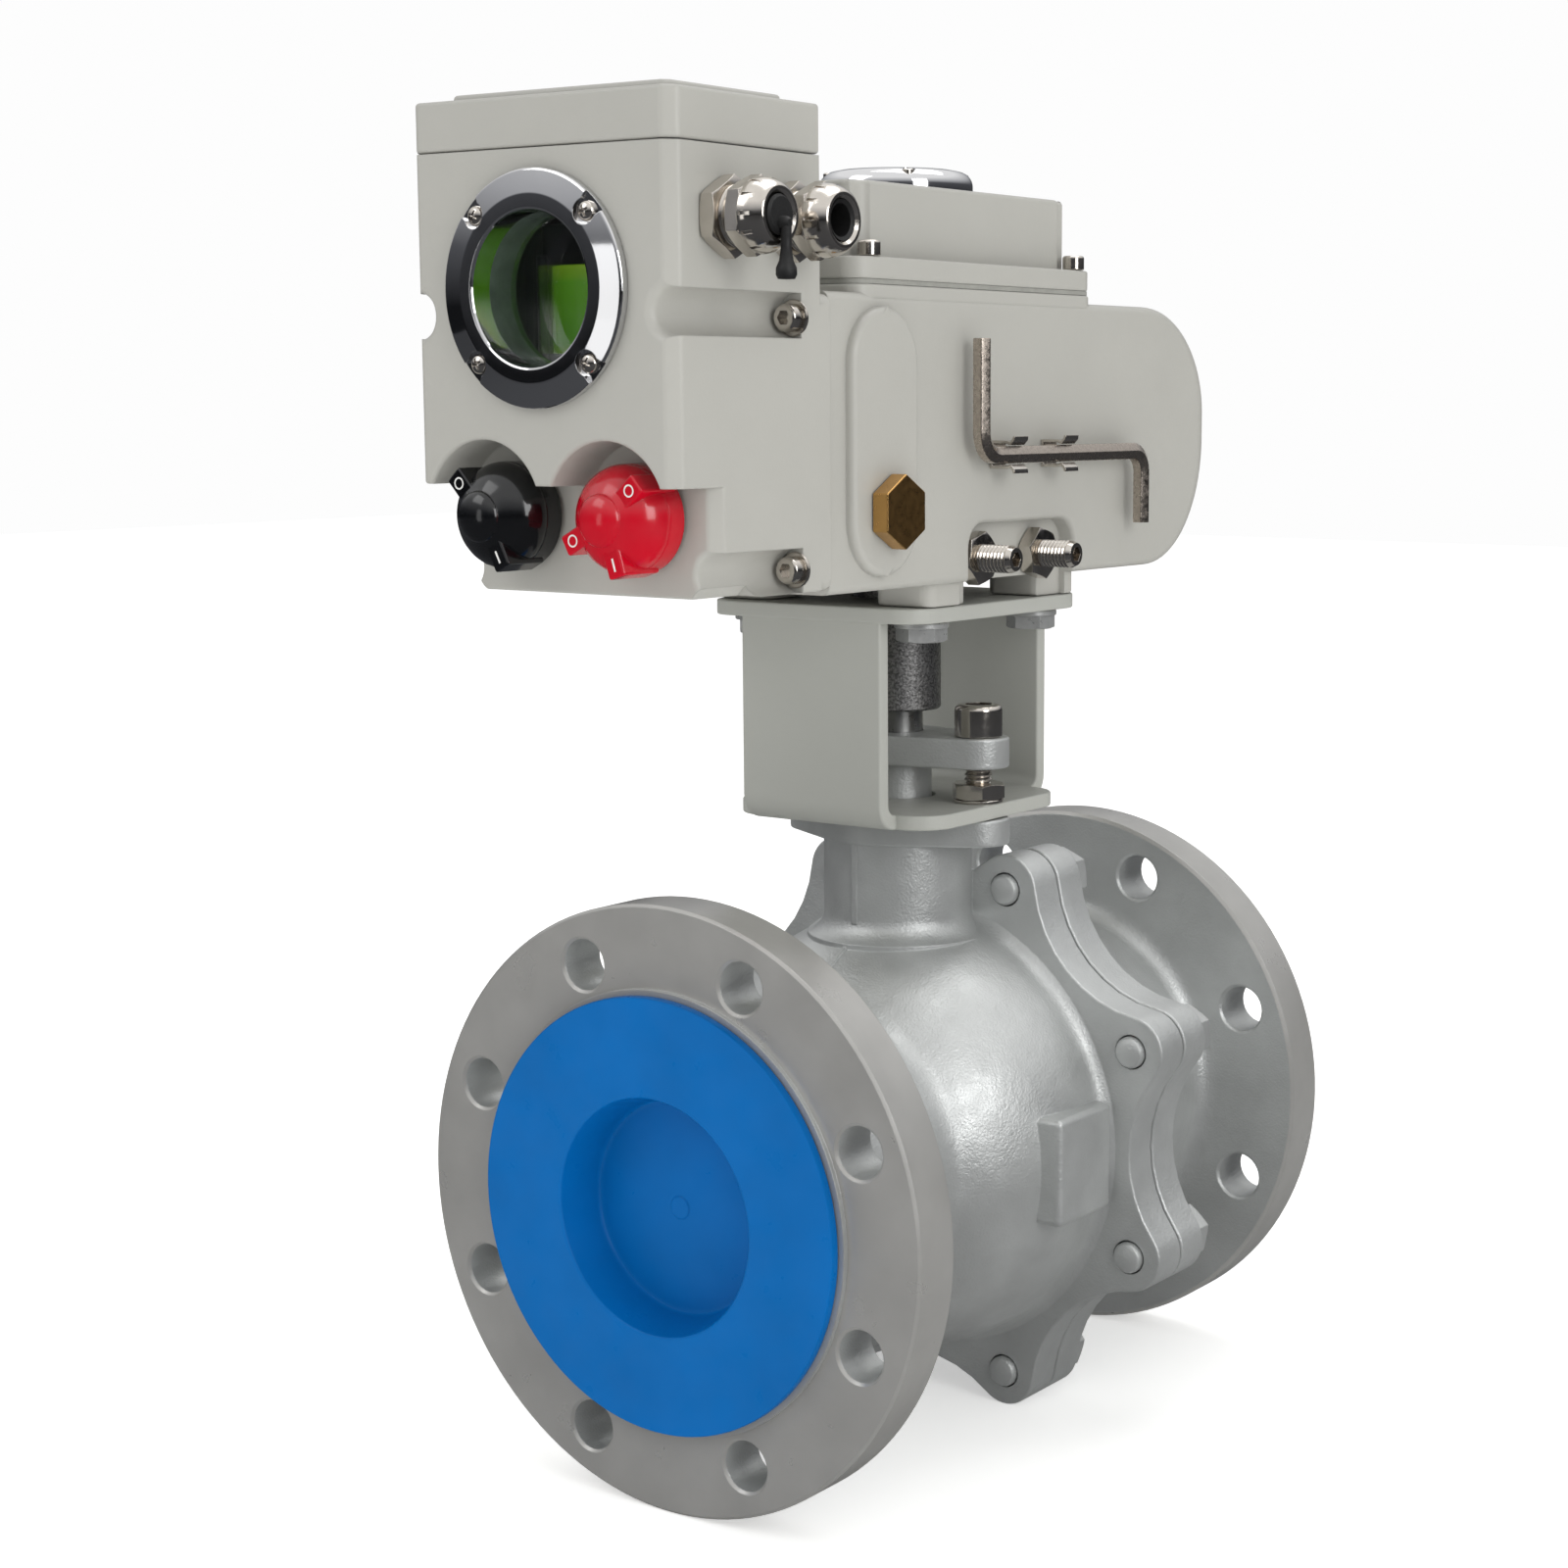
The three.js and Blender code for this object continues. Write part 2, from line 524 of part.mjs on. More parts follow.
function wormWheel() {
  const gear = slab('z', gearOutline(wheel.teeth, wheel.tipR, wheel.rootR), ...wheel.z);
  return cut(gear, rod('z', 16.3, wheel.z[0] - 1, wheel.z[1] + 1, [0, 0], 20));
}

class Helix extends THREE.Curve {
  constructor(r, from, to, turns) {
    super();
    Object.assign(this, { r, from, to, turns });
  }

  getPoint(t, target = new THREE.Vector3()) {
    const a = 2 * Math.PI * this.turns * t;
    const y = this.from + (this.to - this.from) * t;
    return target.set(wormAxis.x + this.r * Math.cos(a), y, wormAxis.z + this.r * Math.sin(a));
  }
}

// Worm shaft with its helical thread, spur gear at the motor end and bevel at the hand-drive end.
function wormShaft() {
  const { x, z, crestR, coreR } = wormAxis;
  const at = [x, z];
  const turns = 5;
  const half = (turns * Math.PI * wheel.tipR) / wheel.teeth;
  const section = polygon([[-1.6, -1.7], [1.6, -1.7], [1.6, 1.7], [-1.6, 1.7]]);
  const thread = solid(new THREE.ExtrudeGeometry(section, {
    steps: turns * 9, bevelEnabled: false, extrudePath: new Helix(crestR - 1.9, -half, half, turns),
  }));
  const gear = slab('y', gearOutline(15, 9.9, 8.4), ...gearRow).translate([x, 0, z]);
  return join(rod('y', coreR, -24, 24, at), rod('y', 4.5, -75, gearRow[1] + 4, at, small), thread,
    gear, rod('y', 4.6, -78.5, -74, at, medium, 9.1));
}

function idlerGear() {
  const { x, z, tipR, teeth } = idlerAxis;
  const gear = slab('y', gearOutline(teeth, tipR, tipR - 1.6), ...gearRow).translate([x, 0, z]);
  return join(gear, rod('y', 3, gearRow[0] - 5, gearRow[1] + 4.5, [x, z], small));
}

function motorPinion() {
  const { x, z } = motorAxis;
  const gear = slab('y', gearOutline(pinion.teeth, pinion.tipR, pinion.tipR - 1.4), ...gearRow);
  return join(gear.translate([x, 0, z]), rod('y', 3, gearRow[0] - 2, 78, [x, z], small));
}

function driveMotor() {
  const { x, z, r, y } = motorAxis;
  const can = turned('y', [[3.4, y[0]], [12, y[0]], [12, y[0] + 3], [r - 2, y[0] + 3], [r, y[0] + 5],
    [r, y[1] - 2], [r - 2, y[1]], [0, y[1]], [0, 79], [3.4, 79]], [x, z], 24);
  return join(can, block([x - 14, x + 14], [80, 98], [housing.bottom + housing.wall + 0.6, z - r + 4]));
}

function manualShaft() {
  const at = [drainPlug.y, drainPlug.z];
  const shape = join(rod('x', 6.5, -28, 45.6, at, medium), rod('x', 4.6, -31.6, -27.1, at, medium, 9.1));
  return cut(shape, slab('x', hexagon(6.6, at), 33, 46));
}

function brassPlug() {
  const { threadR, acrossFlats, headX } = drainPlug;
  const at = [drainPlug.y, drainPlug.z];
  return join(rod('x', threadR, 47.6, headX[0] + 1, at, 16),
    slab('x', hexagon(acrossFlats, at, Math.PI / 2), ...headX));
}

function handCrank() {
  const { x, y: [y0, y1], z, top, foot, bend } = crank;
  const corner = (from, at, to) => new THREE.QuadraticBezierCurve3(from, at, to);
  const p = (y, h) => new THREE.Vector3(x, y, h);
  const path = new THREE.CurvePath();
  path.add(new THREE.LineCurve3(p(y0, top), p(y0, z + bend)));
  path.add(corner(p(y0, z + bend), p(y0, z), p(y0 + bend, z)));
  path.add(new THREE.LineCurve3(p(y0 + bend, z), p(y1 - bend, z)));
  path.add(corner(p(y1 - bend, z), p(y1, z), p(y1, z - bend)));
  path.add(new THREE.LineCurve3(p(y1, z - bend), p(y1, foot)));
  const section = hexagon(crank.acrossFlats, [0, 0], Math.PI / 6);
  return solid(new THREE.ExtrudeGeometry(section, { steps: 24, bevelEnabled: false, extrudePath: path }));
}

// A spring clip: a foot on the wall and two jaws that hold the bar of the crank between them.
function crankClip(y) {
  const wallX = housing.x + gap;
  const jaw = crank.acrossFlats / Math.sqrt(3) + 0.6;
  const z = crank.z;
  const outerX = crank.x + 2.4;
  const t = 1.4;
  const section = polygon([[wallX, z - jaw - t], [outerX, z - jaw - t], [outerX, z - jaw],
    [wallX + t, z - jaw], [wallX + t, z + jaw], [outerX, z + jaw],
    [outerX, z + jaw + t], [wallX, z + jaw + t]]);
  return slab('y', section, y - 4.5, y + 4.5);
}

function limitScrew(side) {
  const { y, z, r, tip, end, acrossFlats, nutT } = stopScrew;
  const at = [side * y, z];
  const nutX = stopPocket.floorX + gap;
  const shape = join(rod('x', r, tip, end, at, 16),
    slab('x', hexagon(acrossFlats, at, Math.PI / 2), nutX, nutX + nutT));
  return cut(shape, slab('x', hexagon(5, at), end - 4, end + 1));
}

// ---------------------------------------------------------------- control box
function boxPlan(front) {
  return chamferedRect([-box.x, box.x], [front, box.rear + 8], box.chamfer);
}

function controlBox() {
  const { x, front, recessed, rear, rim: rimY, chamfer } = box;
  const { bottom, step, rimTop, seam } = boxZ;
  const upper = slab('z', boxPlan(front), step, seam);
  const lower = slab('z', boxPlan(recessed), bottom, step + 0.01);
  const behind = block([-x - 1, x + 1], [rear, rear + 20], [bottom - 1, seam + 1]);
  const rearRim = slab('y', roundedRect([-x, x], [bottom, rimTop], chamfer), rear - 1, rimY, 3);
  const lowChamfer = [-1, 1].map((s) => slab('y', polygon([[s * (x + 1), bottom - 1],
    [s * (x + 1), bottom + 12], [s * (x - 12), bottom - 1]]), recessed - 1, -150));
  const channels = [-1, 1].flatMap((s) => [
    rod('y', channel.r, front - 1, channel.floorY, [s * channel.x, channel.z], 20),
    rod('y', channel.r, recessed - 1, channel.floorY, [s * channel.x, channel.lowZ], 20)]);
  const arches = [-1, 1].map((s) => rod('y', knob.archR, front - 1, recessed, [s * knob.x, knob.z], 28));
  const cx = boxCavityX;
  const hollows = [block([-cx, cx], [front + boxWall, rear - boxWall], [knob.z + knob.archR + 3, seam + 1]),
    block([-cx, cx], [recessed + boxWall, rear - boxWall], [bottom + 8, knob.z + knob.archR + 4])];
  const holes = [rod('y', windowRing.sleeveR + gap, front - 1, front + 7, [0, windowRing.z], 28),
    rod('y', 12, rear - boxWall - 1, rimY + 1, [0, 370], 16),
    ...[-1, 1].map((s) => rod('y', knob.shaftR + gap, recessed - 1, recessed + 7, [s * knob.x, knob.z], 16)),
    ...cableGland.y.map((y) => rod('x', 10.2, cx - 1, x + 1, [y, cableGland.z], 20))];
  const blocks = join(cut(join(upper, lower), behind), rearRim);
  return cut(blocks, ...hollows, ...arches, ...channels, ...lowChamfer, ...holes);
}

function controlLid() {
  const foot = boxZ.seam + gap;
  const behind = block([-box.x - 1, box.x + 1], [box.rear, box.rear + 20], [foot - 1, 500]);
  const inset = 9;
  const panel = slab('z', chamferedRect([inset - box.x, box.x - inset],
    [box.front + inset, box.rear - inset + 3], 3), boxZ.lidTop - 0.5, boxZ.panel);
  const shell = join(cut(slab('z', boxPlan(box.front), foot, boxZ.lidTop), behind), panel);
  return cut(shell, block([-49, 49], [box.front + 6, box.rear - 6], [foot - 1, boxZ.lidTop - 4]));
}

function windowBezel() {
  const { r, innerR, sleeveR, front, back } = windowRing;
  const seatY = box.front - gap;
  return turned('y', [[innerR, back], [sleeveR, back], [sleeveR, seatY], [r, seatY], [r, front + 2.2],
    [r - 2.4, front], [innerR + 1.2, front], [innerR, front + 1.4]], [0, windowRing.z], 28);
}

function windowGlass() {
  const y = windowRing.back;
  return rod('y', windowRing.innerR - gap, y - 3, y - 0.4, [0, windowRing.z], 24);
}

function displayModule() {
  const { x, y, z } = display;
  const screenHalf = 16;
  const recess = block([-screenHalf, screenHalf], [y[0] - 1, y[0] + 1],
    [windowRing.z - screenHalf, windowRing.z + screenHalf]);
  return cut(block([-x, x], y, z), recess);
}

// A round-nosed selector knob with raised position tabs, on a short shaft through the box wall.
function selectorKnob(side, tabAngles) {
  const at = [side * knob.x, knob.z];
  const { r, back, tip } = knob;
  const noseR = 8.3;
  const dome = turned('y', [[0, back], [r, back], [r, back - 7], [r * 0.95, back - 11.5],
    [r * 0.8, back - 15.5], [r * 0.6, back - 18.5], [noseR, back - 20], [0, back - 20]], at, 24);
  const tabs = tabAngles.map((a) => {
    const tab = block([knobTab.inner, r + knobTab.proud], [knobTab.front, knobTab.back],
      [-knobTab.half, knobTab.half]);
    return tab.rotate([0, -a, 0]).translate([at[0], 0, at[1]]);
  });
  const nose = turned('y', [[0, back - 19], [noseR, back - 19], [noseR, tip + 3.4], [noseR * 0.8, tip + 1],
    [noseR * 0.4, tip], [0, tip]], at, medium);
  return join(dome, nose, ...tabs, rod('y', knob.shaftR, back - 1, -160, at, small));
}

function cableEntry(y) {
  const at = [y, cableGland.z];
  const wall = box.x + gap;
  const { boreR: r, end } = cableGland;
  const shape = join(rod('x', 9.8, boxCavityX - 3, wall + 1, at),
    slab('x', hexagon(22, at, Math.PI / 2), wall, wall + 6), rod('x', 9.6, wall + 5, wall + 10.5, at),
    slab('x', hexagon(21.5, at, Math.PI / 2), wall + 9.5, wall + 15),
    turned('x', [[0, wall + 14], [11.6, wall + 14], [11.6, wall + 18], [9.8, end], [0, end]], at, medium));
  return cut(shape, rod('x', r, boxCavityX - 4, end + 1, at, 16));
}

// A rubber blank in the unused cable entry, with its hanging pull tail.
function glandPlug() {
  const at = [cableGland.y[0], cableGland.z];
  const end = cableGland.end;
  return join(rod('x', cableGland.boreR - gap, end - 8, end - 1, at, 16),
    rod('x', 2, end - 2, end + 3.5, [at[0], at[1] - 3], 8),
    rod('z', 2, at[1] - 15, at[1] - 2, [end + 2.2, at[0]], 8, 1.6),
    rod('z', 3.4, at[1] - 17, at[1] - 12, [end + 2.2, at[0]], 10, 2));
}

// ---------------------------------------------------------------- finishes and the assembly
function finish(color, roughness, metalness, extra = {}) {
  return new THREE.MeshStandardMaterial({ color, roughness, metalness, ...extra });
}

const castSilver = finish('#a5a5a7', 0.5, 0.6);
const greyEnamel = finish('#b7b6ae', 0.45, 0.0);
const steel = finish('#9a9a98', 0.4, 0.9);
const nickel = finish('#b9b5ad', 0.25, 1.0);
const chrome = finish('#d8d8da', 0.08, 1.0);
const ptfe = finish('#eeeeea', 0.5, 0.0);
const graphite = finish('#3a3a3c', 0.6, 0.2);
const blackPlastic = finish('#101114', 0.15, 0.0);
const redPlastic = finish('#d0021b', 0.2, 0.0);
const bluePlastic = finish('#0a67b5', 0.3, 0.0);
const brass = finish('#9c7448', 0.35, 1.0);
const bronze = finish('#a9834f', 0.4, 1.0);
const glass = finish('#dfe8e4', 0.05, 0.0, { transparent: true, opacity: 0.35 });
const rubber = finish('#161616', 0.7, 0.0);
const screen = finish('#3f6b1e', 0.3, 0.0);

const assembly = new THREE.Group();
assembly.position.y = originY;

function piece(name, shape, material) {
  const mesh = shape.getMesh();
  const geometry = new THREE.BufferGeometry();
  geometry.setAttribute('position', new THREE.BufferAttribute(mesh.vertProperties, 3));
  geometry.setIndex(new THREE.BufferAttribute(mesh.triVerts, 1));
  geometry.computeVertexNormals();
  const node = new THREE.Mesh(geometry, material);
  node.name = name;
  assembly.add(node);
}

piece('valve_body', valveBody(), castSilver);
piece('end_adapter', endAdapter(), castSilver);
piece('body_gasket', bodyGasket(), graphite);
piece('seat_front', seatRing(-1), ptfe);
piece('seat_rear', seatRing(1), ptfe);
piece('ball', ball(), chrome);
piece('valve_stem', valveStem(), steel);
piece('stem_packing', stemPacking(), graphite);
piece('gland_flange', glandFlange(), castSilver);
piece('gland_screw_left', glandScrew(-1), nickel);
piece('gland_screw_right', glandScrew(1), nickel);
roundTheAxis(studs.count, studs.circleR, (at, i) => piece(`body_stud_${i + 1}`, bodyStud(at), castSilver));
piece('port_cap_front', portCap(-1), bluePlastic);
piece('port_cap_rear', portCap(1), bluePlastic);

piece('bracket', bracketWeldment(), greyEnamel);
atFourBolts((at, i) => piece(`plate_bolt_${i + 1}`, plateBolt(at), nickel));
piece('drive_coupling', driveCoupling(), steel);

piece('gear_housing', gearHousing(), greyEnamel);
piece('cover_gasket', coverGasket(), rubber);
piece('top_cover', topCover(), greyEnamel);
coverScrews.y.forEach((y, row) => [-1, 1].forEach((side, column) => {
  piece(`cover_screw_${2 * row + column + 1}`, coverScrew([side * coverScrews.x, y]), nickel);
}));
piece('indicator_bezel', indicatorBezel(), chrome);
piece('indicator_lens', indicatorLens(), glass);
piece('indicator_dial', indicatorDial(), redPlastic);
piece('output_shaft', outputShaft(), steel);
piece('worm_wheel', wormWheel(), bronze);
piece('worm_shaft', wormShaft(), steel);
piece('idler_gear', idlerGear(), steel);
piece('motor_pinion', motorPinion(), steel);
piece('drive_motor', driveMotor(), steel);
piece('manual_shaft', manualShaft(), steel);
piece('brass_plug', brassPlug(), brass);
piece('hand_crank', handCrank(), nickel);
clipY.forEach((y, i) => piece(`crank_clip_${i + 1}`, crankClip(y), nickel));
[-1, 1].forEach((side, i) => piece(`limit_screw_${i + 1}`, limitScrew(side), nickel));

piece('control_box', controlBox(), greyEnamel);
piece('control_lid', controlLid(), greyEnamel);
piece('window_bezel', windowBezel(), chrome);
piece('window_glass', windowGlass(), glass);
piece('display_module', displayModule(), screen);
piece('knob_black', selectorKnob(-1, knobTabs.black), blackPlastic);
piece('knob_red', selectorKnob(1, knobTabs.red), redPlastic);
cableGland.y.forEach((y, i) => piece(`cable_gland_${i + 1}`, cableEntry(y), nickel));
piece('gland_plug', glandPlug(), rubber);

export default assembly;
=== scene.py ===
"""Motor-driven DN100 flanged ball valve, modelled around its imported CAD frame.

All shapes are modelled in millimetres from the valve stem (x, y) and from the floor (z), and are
put into the frame in metres when a piece is finished.
"""

from math import acos, asin, atan2, cos, pi, radians, sin, sqrt

import bmesh
import bpy
from mathutils import Matrix, Vector


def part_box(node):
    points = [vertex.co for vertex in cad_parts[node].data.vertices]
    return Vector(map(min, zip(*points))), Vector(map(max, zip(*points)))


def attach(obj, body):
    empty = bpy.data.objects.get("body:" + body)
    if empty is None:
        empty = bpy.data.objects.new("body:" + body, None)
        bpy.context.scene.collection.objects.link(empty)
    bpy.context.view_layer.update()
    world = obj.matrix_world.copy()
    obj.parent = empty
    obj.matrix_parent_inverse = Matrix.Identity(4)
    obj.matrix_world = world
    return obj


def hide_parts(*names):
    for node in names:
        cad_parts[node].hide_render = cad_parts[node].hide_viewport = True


bl_info = {
    "name": "Motorised ball valve",
    "version": (1, 0, 0),
    "blender": (4, 5, 0),
    "location": "View3D > Sidebar > Valve",
    "description": "Builds a flanged ball valve with its electric actuator around a CAD frame",
    "category": "Object",
}

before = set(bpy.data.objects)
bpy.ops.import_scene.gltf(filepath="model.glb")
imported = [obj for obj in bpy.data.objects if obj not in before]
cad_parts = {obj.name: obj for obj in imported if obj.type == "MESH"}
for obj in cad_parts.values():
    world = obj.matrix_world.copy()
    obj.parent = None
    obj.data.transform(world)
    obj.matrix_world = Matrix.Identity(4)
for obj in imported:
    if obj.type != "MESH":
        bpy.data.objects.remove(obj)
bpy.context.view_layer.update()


def middle(node):
    low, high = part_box(node)
    return (low + high) / 2


STEM_Y = middle("drive_coupling").y
PIPE_Z = middle("port_cap_front").z * 1000
TO_FRAME = Matrix.Translation((0, STEM_Y, 0)) @ Matrix.Scale(0.001, 4)
SIDES = (-1, 1)  # both sides of the stem
DRUM_Z = (398.5, 426.5)  # the green drum behind the window, foot and top


# ------------------------------------------------------------------ sizes and colours
def size(name, default, description):
    return bpy.props.FloatProperty(name=name, default=default, description=description + ", in mm")


def colour(name, hexa, description):
    return bpy.props.StringProperty(name=name, default=hexa, description=description + ", sRGB hex")


class ValveSizes(bpy.types.PropertyGroup):
    flange_r: size("Flange radius", 107.5, "Outer radius of the pipe flanges")
    flange_t: size("Flange thickness", 20.0, "Thickness of the pipe flanges without the raised face")
    face_y: size("Flange face", 140.0, "Distance of the flange ring face from the stem")
    raised_r: size("Raised face radius", 78.5, "Radius of the sealing face")
    bore_r: size("Bore radius", 50.0, "Radius of the flow bore")
    bolt_circle_r: size("Bolt circle radius", 90.0, "Radius of the circle of pipe flange holes")
    bolt_hole_r: size("Bolt hole radius", 9.0, "Radius of a pipe flange hole")
    barrel_r: size("Barrel radius", 84.4, "Radius of the ball-shaped middle of the body")
    hub_r: size("Hub radius", 62.0, "Radius of the pipe between flange and barrel")
    stud_circle_r: size("Stud circle radius", 102.0, "Radius of the circle of body studs")
    valley_r: size("Valley radius", 94.0, "Radius of the split flange between two studs")
    neck_r: size("Neck radius", 28.0, "Radius of the stem neck")


class ActuatorSizes(bpy.types.PropertyGroup):
    half_width: size("Housing half width", 53.0, "Half the width of the gear housing")
    box_half_width: size("Box half width", 54.5, "Half the width of the control box")
    edge: size("Edge rounding", 0.9, "Rounding of the edges of enamelled castings")
    knob_r: size("Knob radius", 17.4, "Radius of the knob skirts")
    bezel_r: size("Bezel radius", 37.0, "Radius of the window bezel")


class FinishColours(bpy.types.PropertyGroup):
    enamel: colour("Enamel", "#A8A7A1", "Powder coat of the actuator")
    sheet: colour("Bracket coat", "#A3A49E", "Powder coat of the bracket")
    silver: colour("Silver", "#C0C2C1", "Silver paint of the valve castings")
    face: colour("Flange face", "#ADACA9", "Paint over the turned flange faces")
    blue: colour("Blue", "#0260A6", "Transport caps")
    black: colour("Black", "#0B0C0E", "Local knob")
    red: colour("Red", "#B4021C", "Selector knob")


# ------------------------------------------------------------------ shapes
def put(axis, along, a, b):
    """A point at a station on an axis, with the other two coordinates in x, y, z order."""
    return Vector({"x": (along, a, b), "y": (a, along, b), "z": (a, b, along)}[axis])


def slab(axis, outline, start, end):
    """A prism over an outline drawn square to the axis."""
    bm = bmesh.new()
    face = bm.faces.new([bm.verts.new(put(axis, start, a, b)) for a, b in outline])
    grown = bmesh.ops.extrude_face_region(bm, geom=[face])["geom"]
    moved = [v for v in grown if isinstance(v, bmesh.types.BMVert)]
    bmesh.ops.translate(bm, verts=moved, vec=put(axis, end - start, 0, 0))
    bmesh.ops.recalc_face_normals(bm, faces=bm.faces)
    return bm


def spun(axis, profile, at=(0, 0), steps=96):
    """A closed [radius, station] profile turned about an axis."""
    bm = bmesh.new()
    verts = [bm.verts.new(put(axis, s, at[0] + r, at[1])) for r, s in profile]
    edges = []
    for i, vert in enumerate(verts):
        if profile[i][0] or profile[i - 1][0]:
            edges.append(bm.edges.new((verts[i - 1], vert)))
    bmesh.ops.spin(bm, geom=verts + edges, cent=put(axis, 0, *at), axis=put(axis, 1, 0, 0),
                   angle=2 * pi, steps=steps, use_merge=True)
    bmesh.ops.remove_doubles(bm, verts=bm.verts, dist=1e-4)
    bmesh.ops.recalc_face_normals(bm, faces=bm.faces)
    return bm


def rod(axis, r, start, end, at=(0, 0), steps=32, chamfer=0.0):
    c = chamfer
    if c:
        profile = [(0, start), (r - c, start), (r, start + c), (r, end - c), (r - c, end), (0, end)]
    else:
        profile = [(0, start), (r, start), (r, end), (0, end)]
    return spun(axis, profile, at, steps)


def block(xs, ys, zs):
    return slab("z", [(xs[0], ys[0]), (xs[1], ys[0]), (xs[1], ys[1]), (xs[0], ys[1])], *zs)


def thread(axis, r, start, end, pitch, at=(0, 0), steps=32):
    """A threaded bar with a chamfered end at either side."""
    depth = 0.54 * pitch
    profile = [(0, start), (r - depth, start)]
    for i in range(int((end - start) / pitch)):
        foot = start + i * pitch
        profile += [(r - depth, foot + 0.12 * pitch), (r, foot + 0.46 * pitch), (r, foot + 0.6 * pitch)]
    profile += [(r - depth, end - 0.1), (r - depth, end), (0, end)]
    return spun(axis, profile, at, steps)


def arc(centre, r, start, end, steps=8):
    """Points of an arc, with its angles in degrees."""
    angles = [radians(start + (end - start) * i / steps) for i in range(steps + 1)]
    return [(centre[0] + r * cos(a), centre[1] + r * sin(a)) for a in angles]


def rounded(xs, ys, r, steps=6):
    (x0, x1), (y0, y1) = xs, ys
    corners = [((x1 - r, y1 - r), 0), ((x0 + r, y1 - r), 90), ((x0 + r, y0 + r), 180), ((x1 - r, y0 + r), 270)]
    return [p for centre, a in corners for p in arc(centre, r, a, a + 90, steps)]


def chamfered(xs, ys, c):
    return rounded(xs, ys, c, 1)


def hexagon(flats, at=(0, 0), turn=0):
    return arc(at, flats / sqrt(3), turn, turn + 300, 5)


def oval(mid_r, end_r, end_x):
    """A round middle joined by straight tangents to two round ends."""
    touch = acos((mid_r - end_r) / end_x) * 180 / pi
    return (arc((end_x, 0), end_r, -touch, touch, 14) + arc((0, 0), mid_r, touch, 180 - touch, 12)
            + arc((-end_x, 0), end_r, 180 - touch, 180 + touch, 14)
            + arc((0, 0), mid_r, 180 + touch, 360 - touch, 12))


def combine(base, *others, how="UNION", overlapping=False):
    """Joins, cuts or intersects closed shapes, and frees the ones used up."""
    tool = others[0] if len(others) == 1 else merged(*others)
    holders = []
    for bm in (base, tool):
        mesh = bpy.data.meshes.new("work")
        bm.to_mesh(mesh)
        bm.free()
        holder = bpy.data.objects.new("work", mesh)
        bpy.context.scene.collection.objects.link(holder)
        holders.append(holder)
    modifier = holders[0].modifiers.new("join", "BOOLEAN")
    modifier.object = holders[1]
    modifier.operation = how
    modifier.solver = "EXACT"
    modifier.use_self = overlapping
    depsgraph = bpy.context.evaluated_depsgraph_get()
    result = bpy.data.meshes.new_from_object(holders[0].evaluated_get(depsgraph))
    made = bmesh.new()
    made.from_mesh(result)
    for mesh in [result] + [h.data for h in holders]:
        bpy.data.meshes.remove(mesh)
    if not made.faces:
        raise RuntimeError("a boolean left nothing")
    bmesh.ops.remove_doubles(made, verts=made.verts, dist=1e-3)
    return made


def cut(base, *tools, overlapping=False):
    return combine(base, *tools, how="DIFFERENCE", overlapping=overlapping)


def merged(*shapes):
    """Several separate shapes in one bmesh."""
    whole = bmesh.new()
    for bm in shapes:
        mesh = bpy.data.meshes.new("work")
        bm.to_mesh(mesh)
        bm.free()
        whole.from_mesh(mesh)
        bpy.data.meshes.remove(mesh)
    return whole


def softened(bm, width, angle=35, segments=3, where=lambda edge: True):
    """Rounds the edges that are sharper than an angle."""
    sharp = [e for e in bm.edges if len(e.link_faces) == 2 and e.calc_face_angle() > radians(angle) and where(e)]
    bmesh.ops.bevel(bm, geom=sharp, offset=width, offset_type="OFFSET", segments=segments, profile=0.5,
                    affect="EDGES", material=-1, clamp_overlap=False, loop_slide=True)
    return bm


def lofted(rings):
    """Skins a row of closed outlines and closes both ends."""
    bm = bmesh.new()
    loops = []
    for ring in rings:
        verts = [bm.verts.new(place) for place in ring]
        loops.append([bm.edges.new(pair) for pair in zip(verts, verts[1:] + verts[:1])])
    for first, second in zip(loops, loops[1:]):
        bmesh.ops.bridge_loops(bm, edges=first + second)
    bmesh.ops.holes_fill(bm, edges=bm.edges, sides=0)
    bmesh.ops.recalc_face_normals(bm, faces=bm.faces)
    return bm


def flared(axis, outline, bottom, mouth, lip):
    """A cutter with a round lip at its mouth. outline gives its points when grown by a distance."""
    step = 1 if mouth > bottom else -1
    stations = [(bottom, 0), (mouth - step * lip, 0)]
    stations += [(mouth - step * lip * (1 - sin(radians(a))), lip * (1 - cos(radians(a)))) for a in (25, 50, 70, 90)]
    stations += [(mouth + step * 3, lip * 1.02)]
    return lofted([[put(axis, along, a, b) for a, b in outline(grown)] for along, grown in stations])


def hex_head(axis, flats, start, end, at=(0, 0), turn=0, both=False):
    """A hexagon whose corners are turned off at the outer end, or at both."""
    r = flats / sqrt(3)
    flat_r = flats / 2
    drop = (r - flat_r) * 0.5
    step = 1 if end > start else -1
    foot = [(0, start), (flat_r, start), (r + 0.05, start + step * drop)] if both else [(0, start), (r + 1, start)]
    profile = foot + [(r + 0.05, end - step * drop), (flat_r * 0.98, end), (0, end)]
    prism = slab(axis, hexagon(flats, at, turn), start, end)
    return combine(prism, spun(axis, profile, at, 48), how="INTERSECT")


def socket_head(axis, r, height, start, at=(0, 0), key=None):
    """A cylinder head with a rounded rim and a hexagon socket, growing from start by height."""
    end = start + height
    step = 1 if height > 0 else -1
    key = key or r * 0.95
    rim = [(r - 0.25 * r * (1 - cos(radians(a))), end - step * 0.25 * r * (1 - sin(radians(a))))
           for a in (0, 30, 60, 90)]
    head = spun(axis, [(0, start), (r - 0.3, start), (r, start + step * 0.3)] + rim + [(0, end)], at, 36)
    low, high = sorted((end - height * 0.55, end + step))
    return cut(head, slab(axis, hexagon(key, at, 0), low, high))


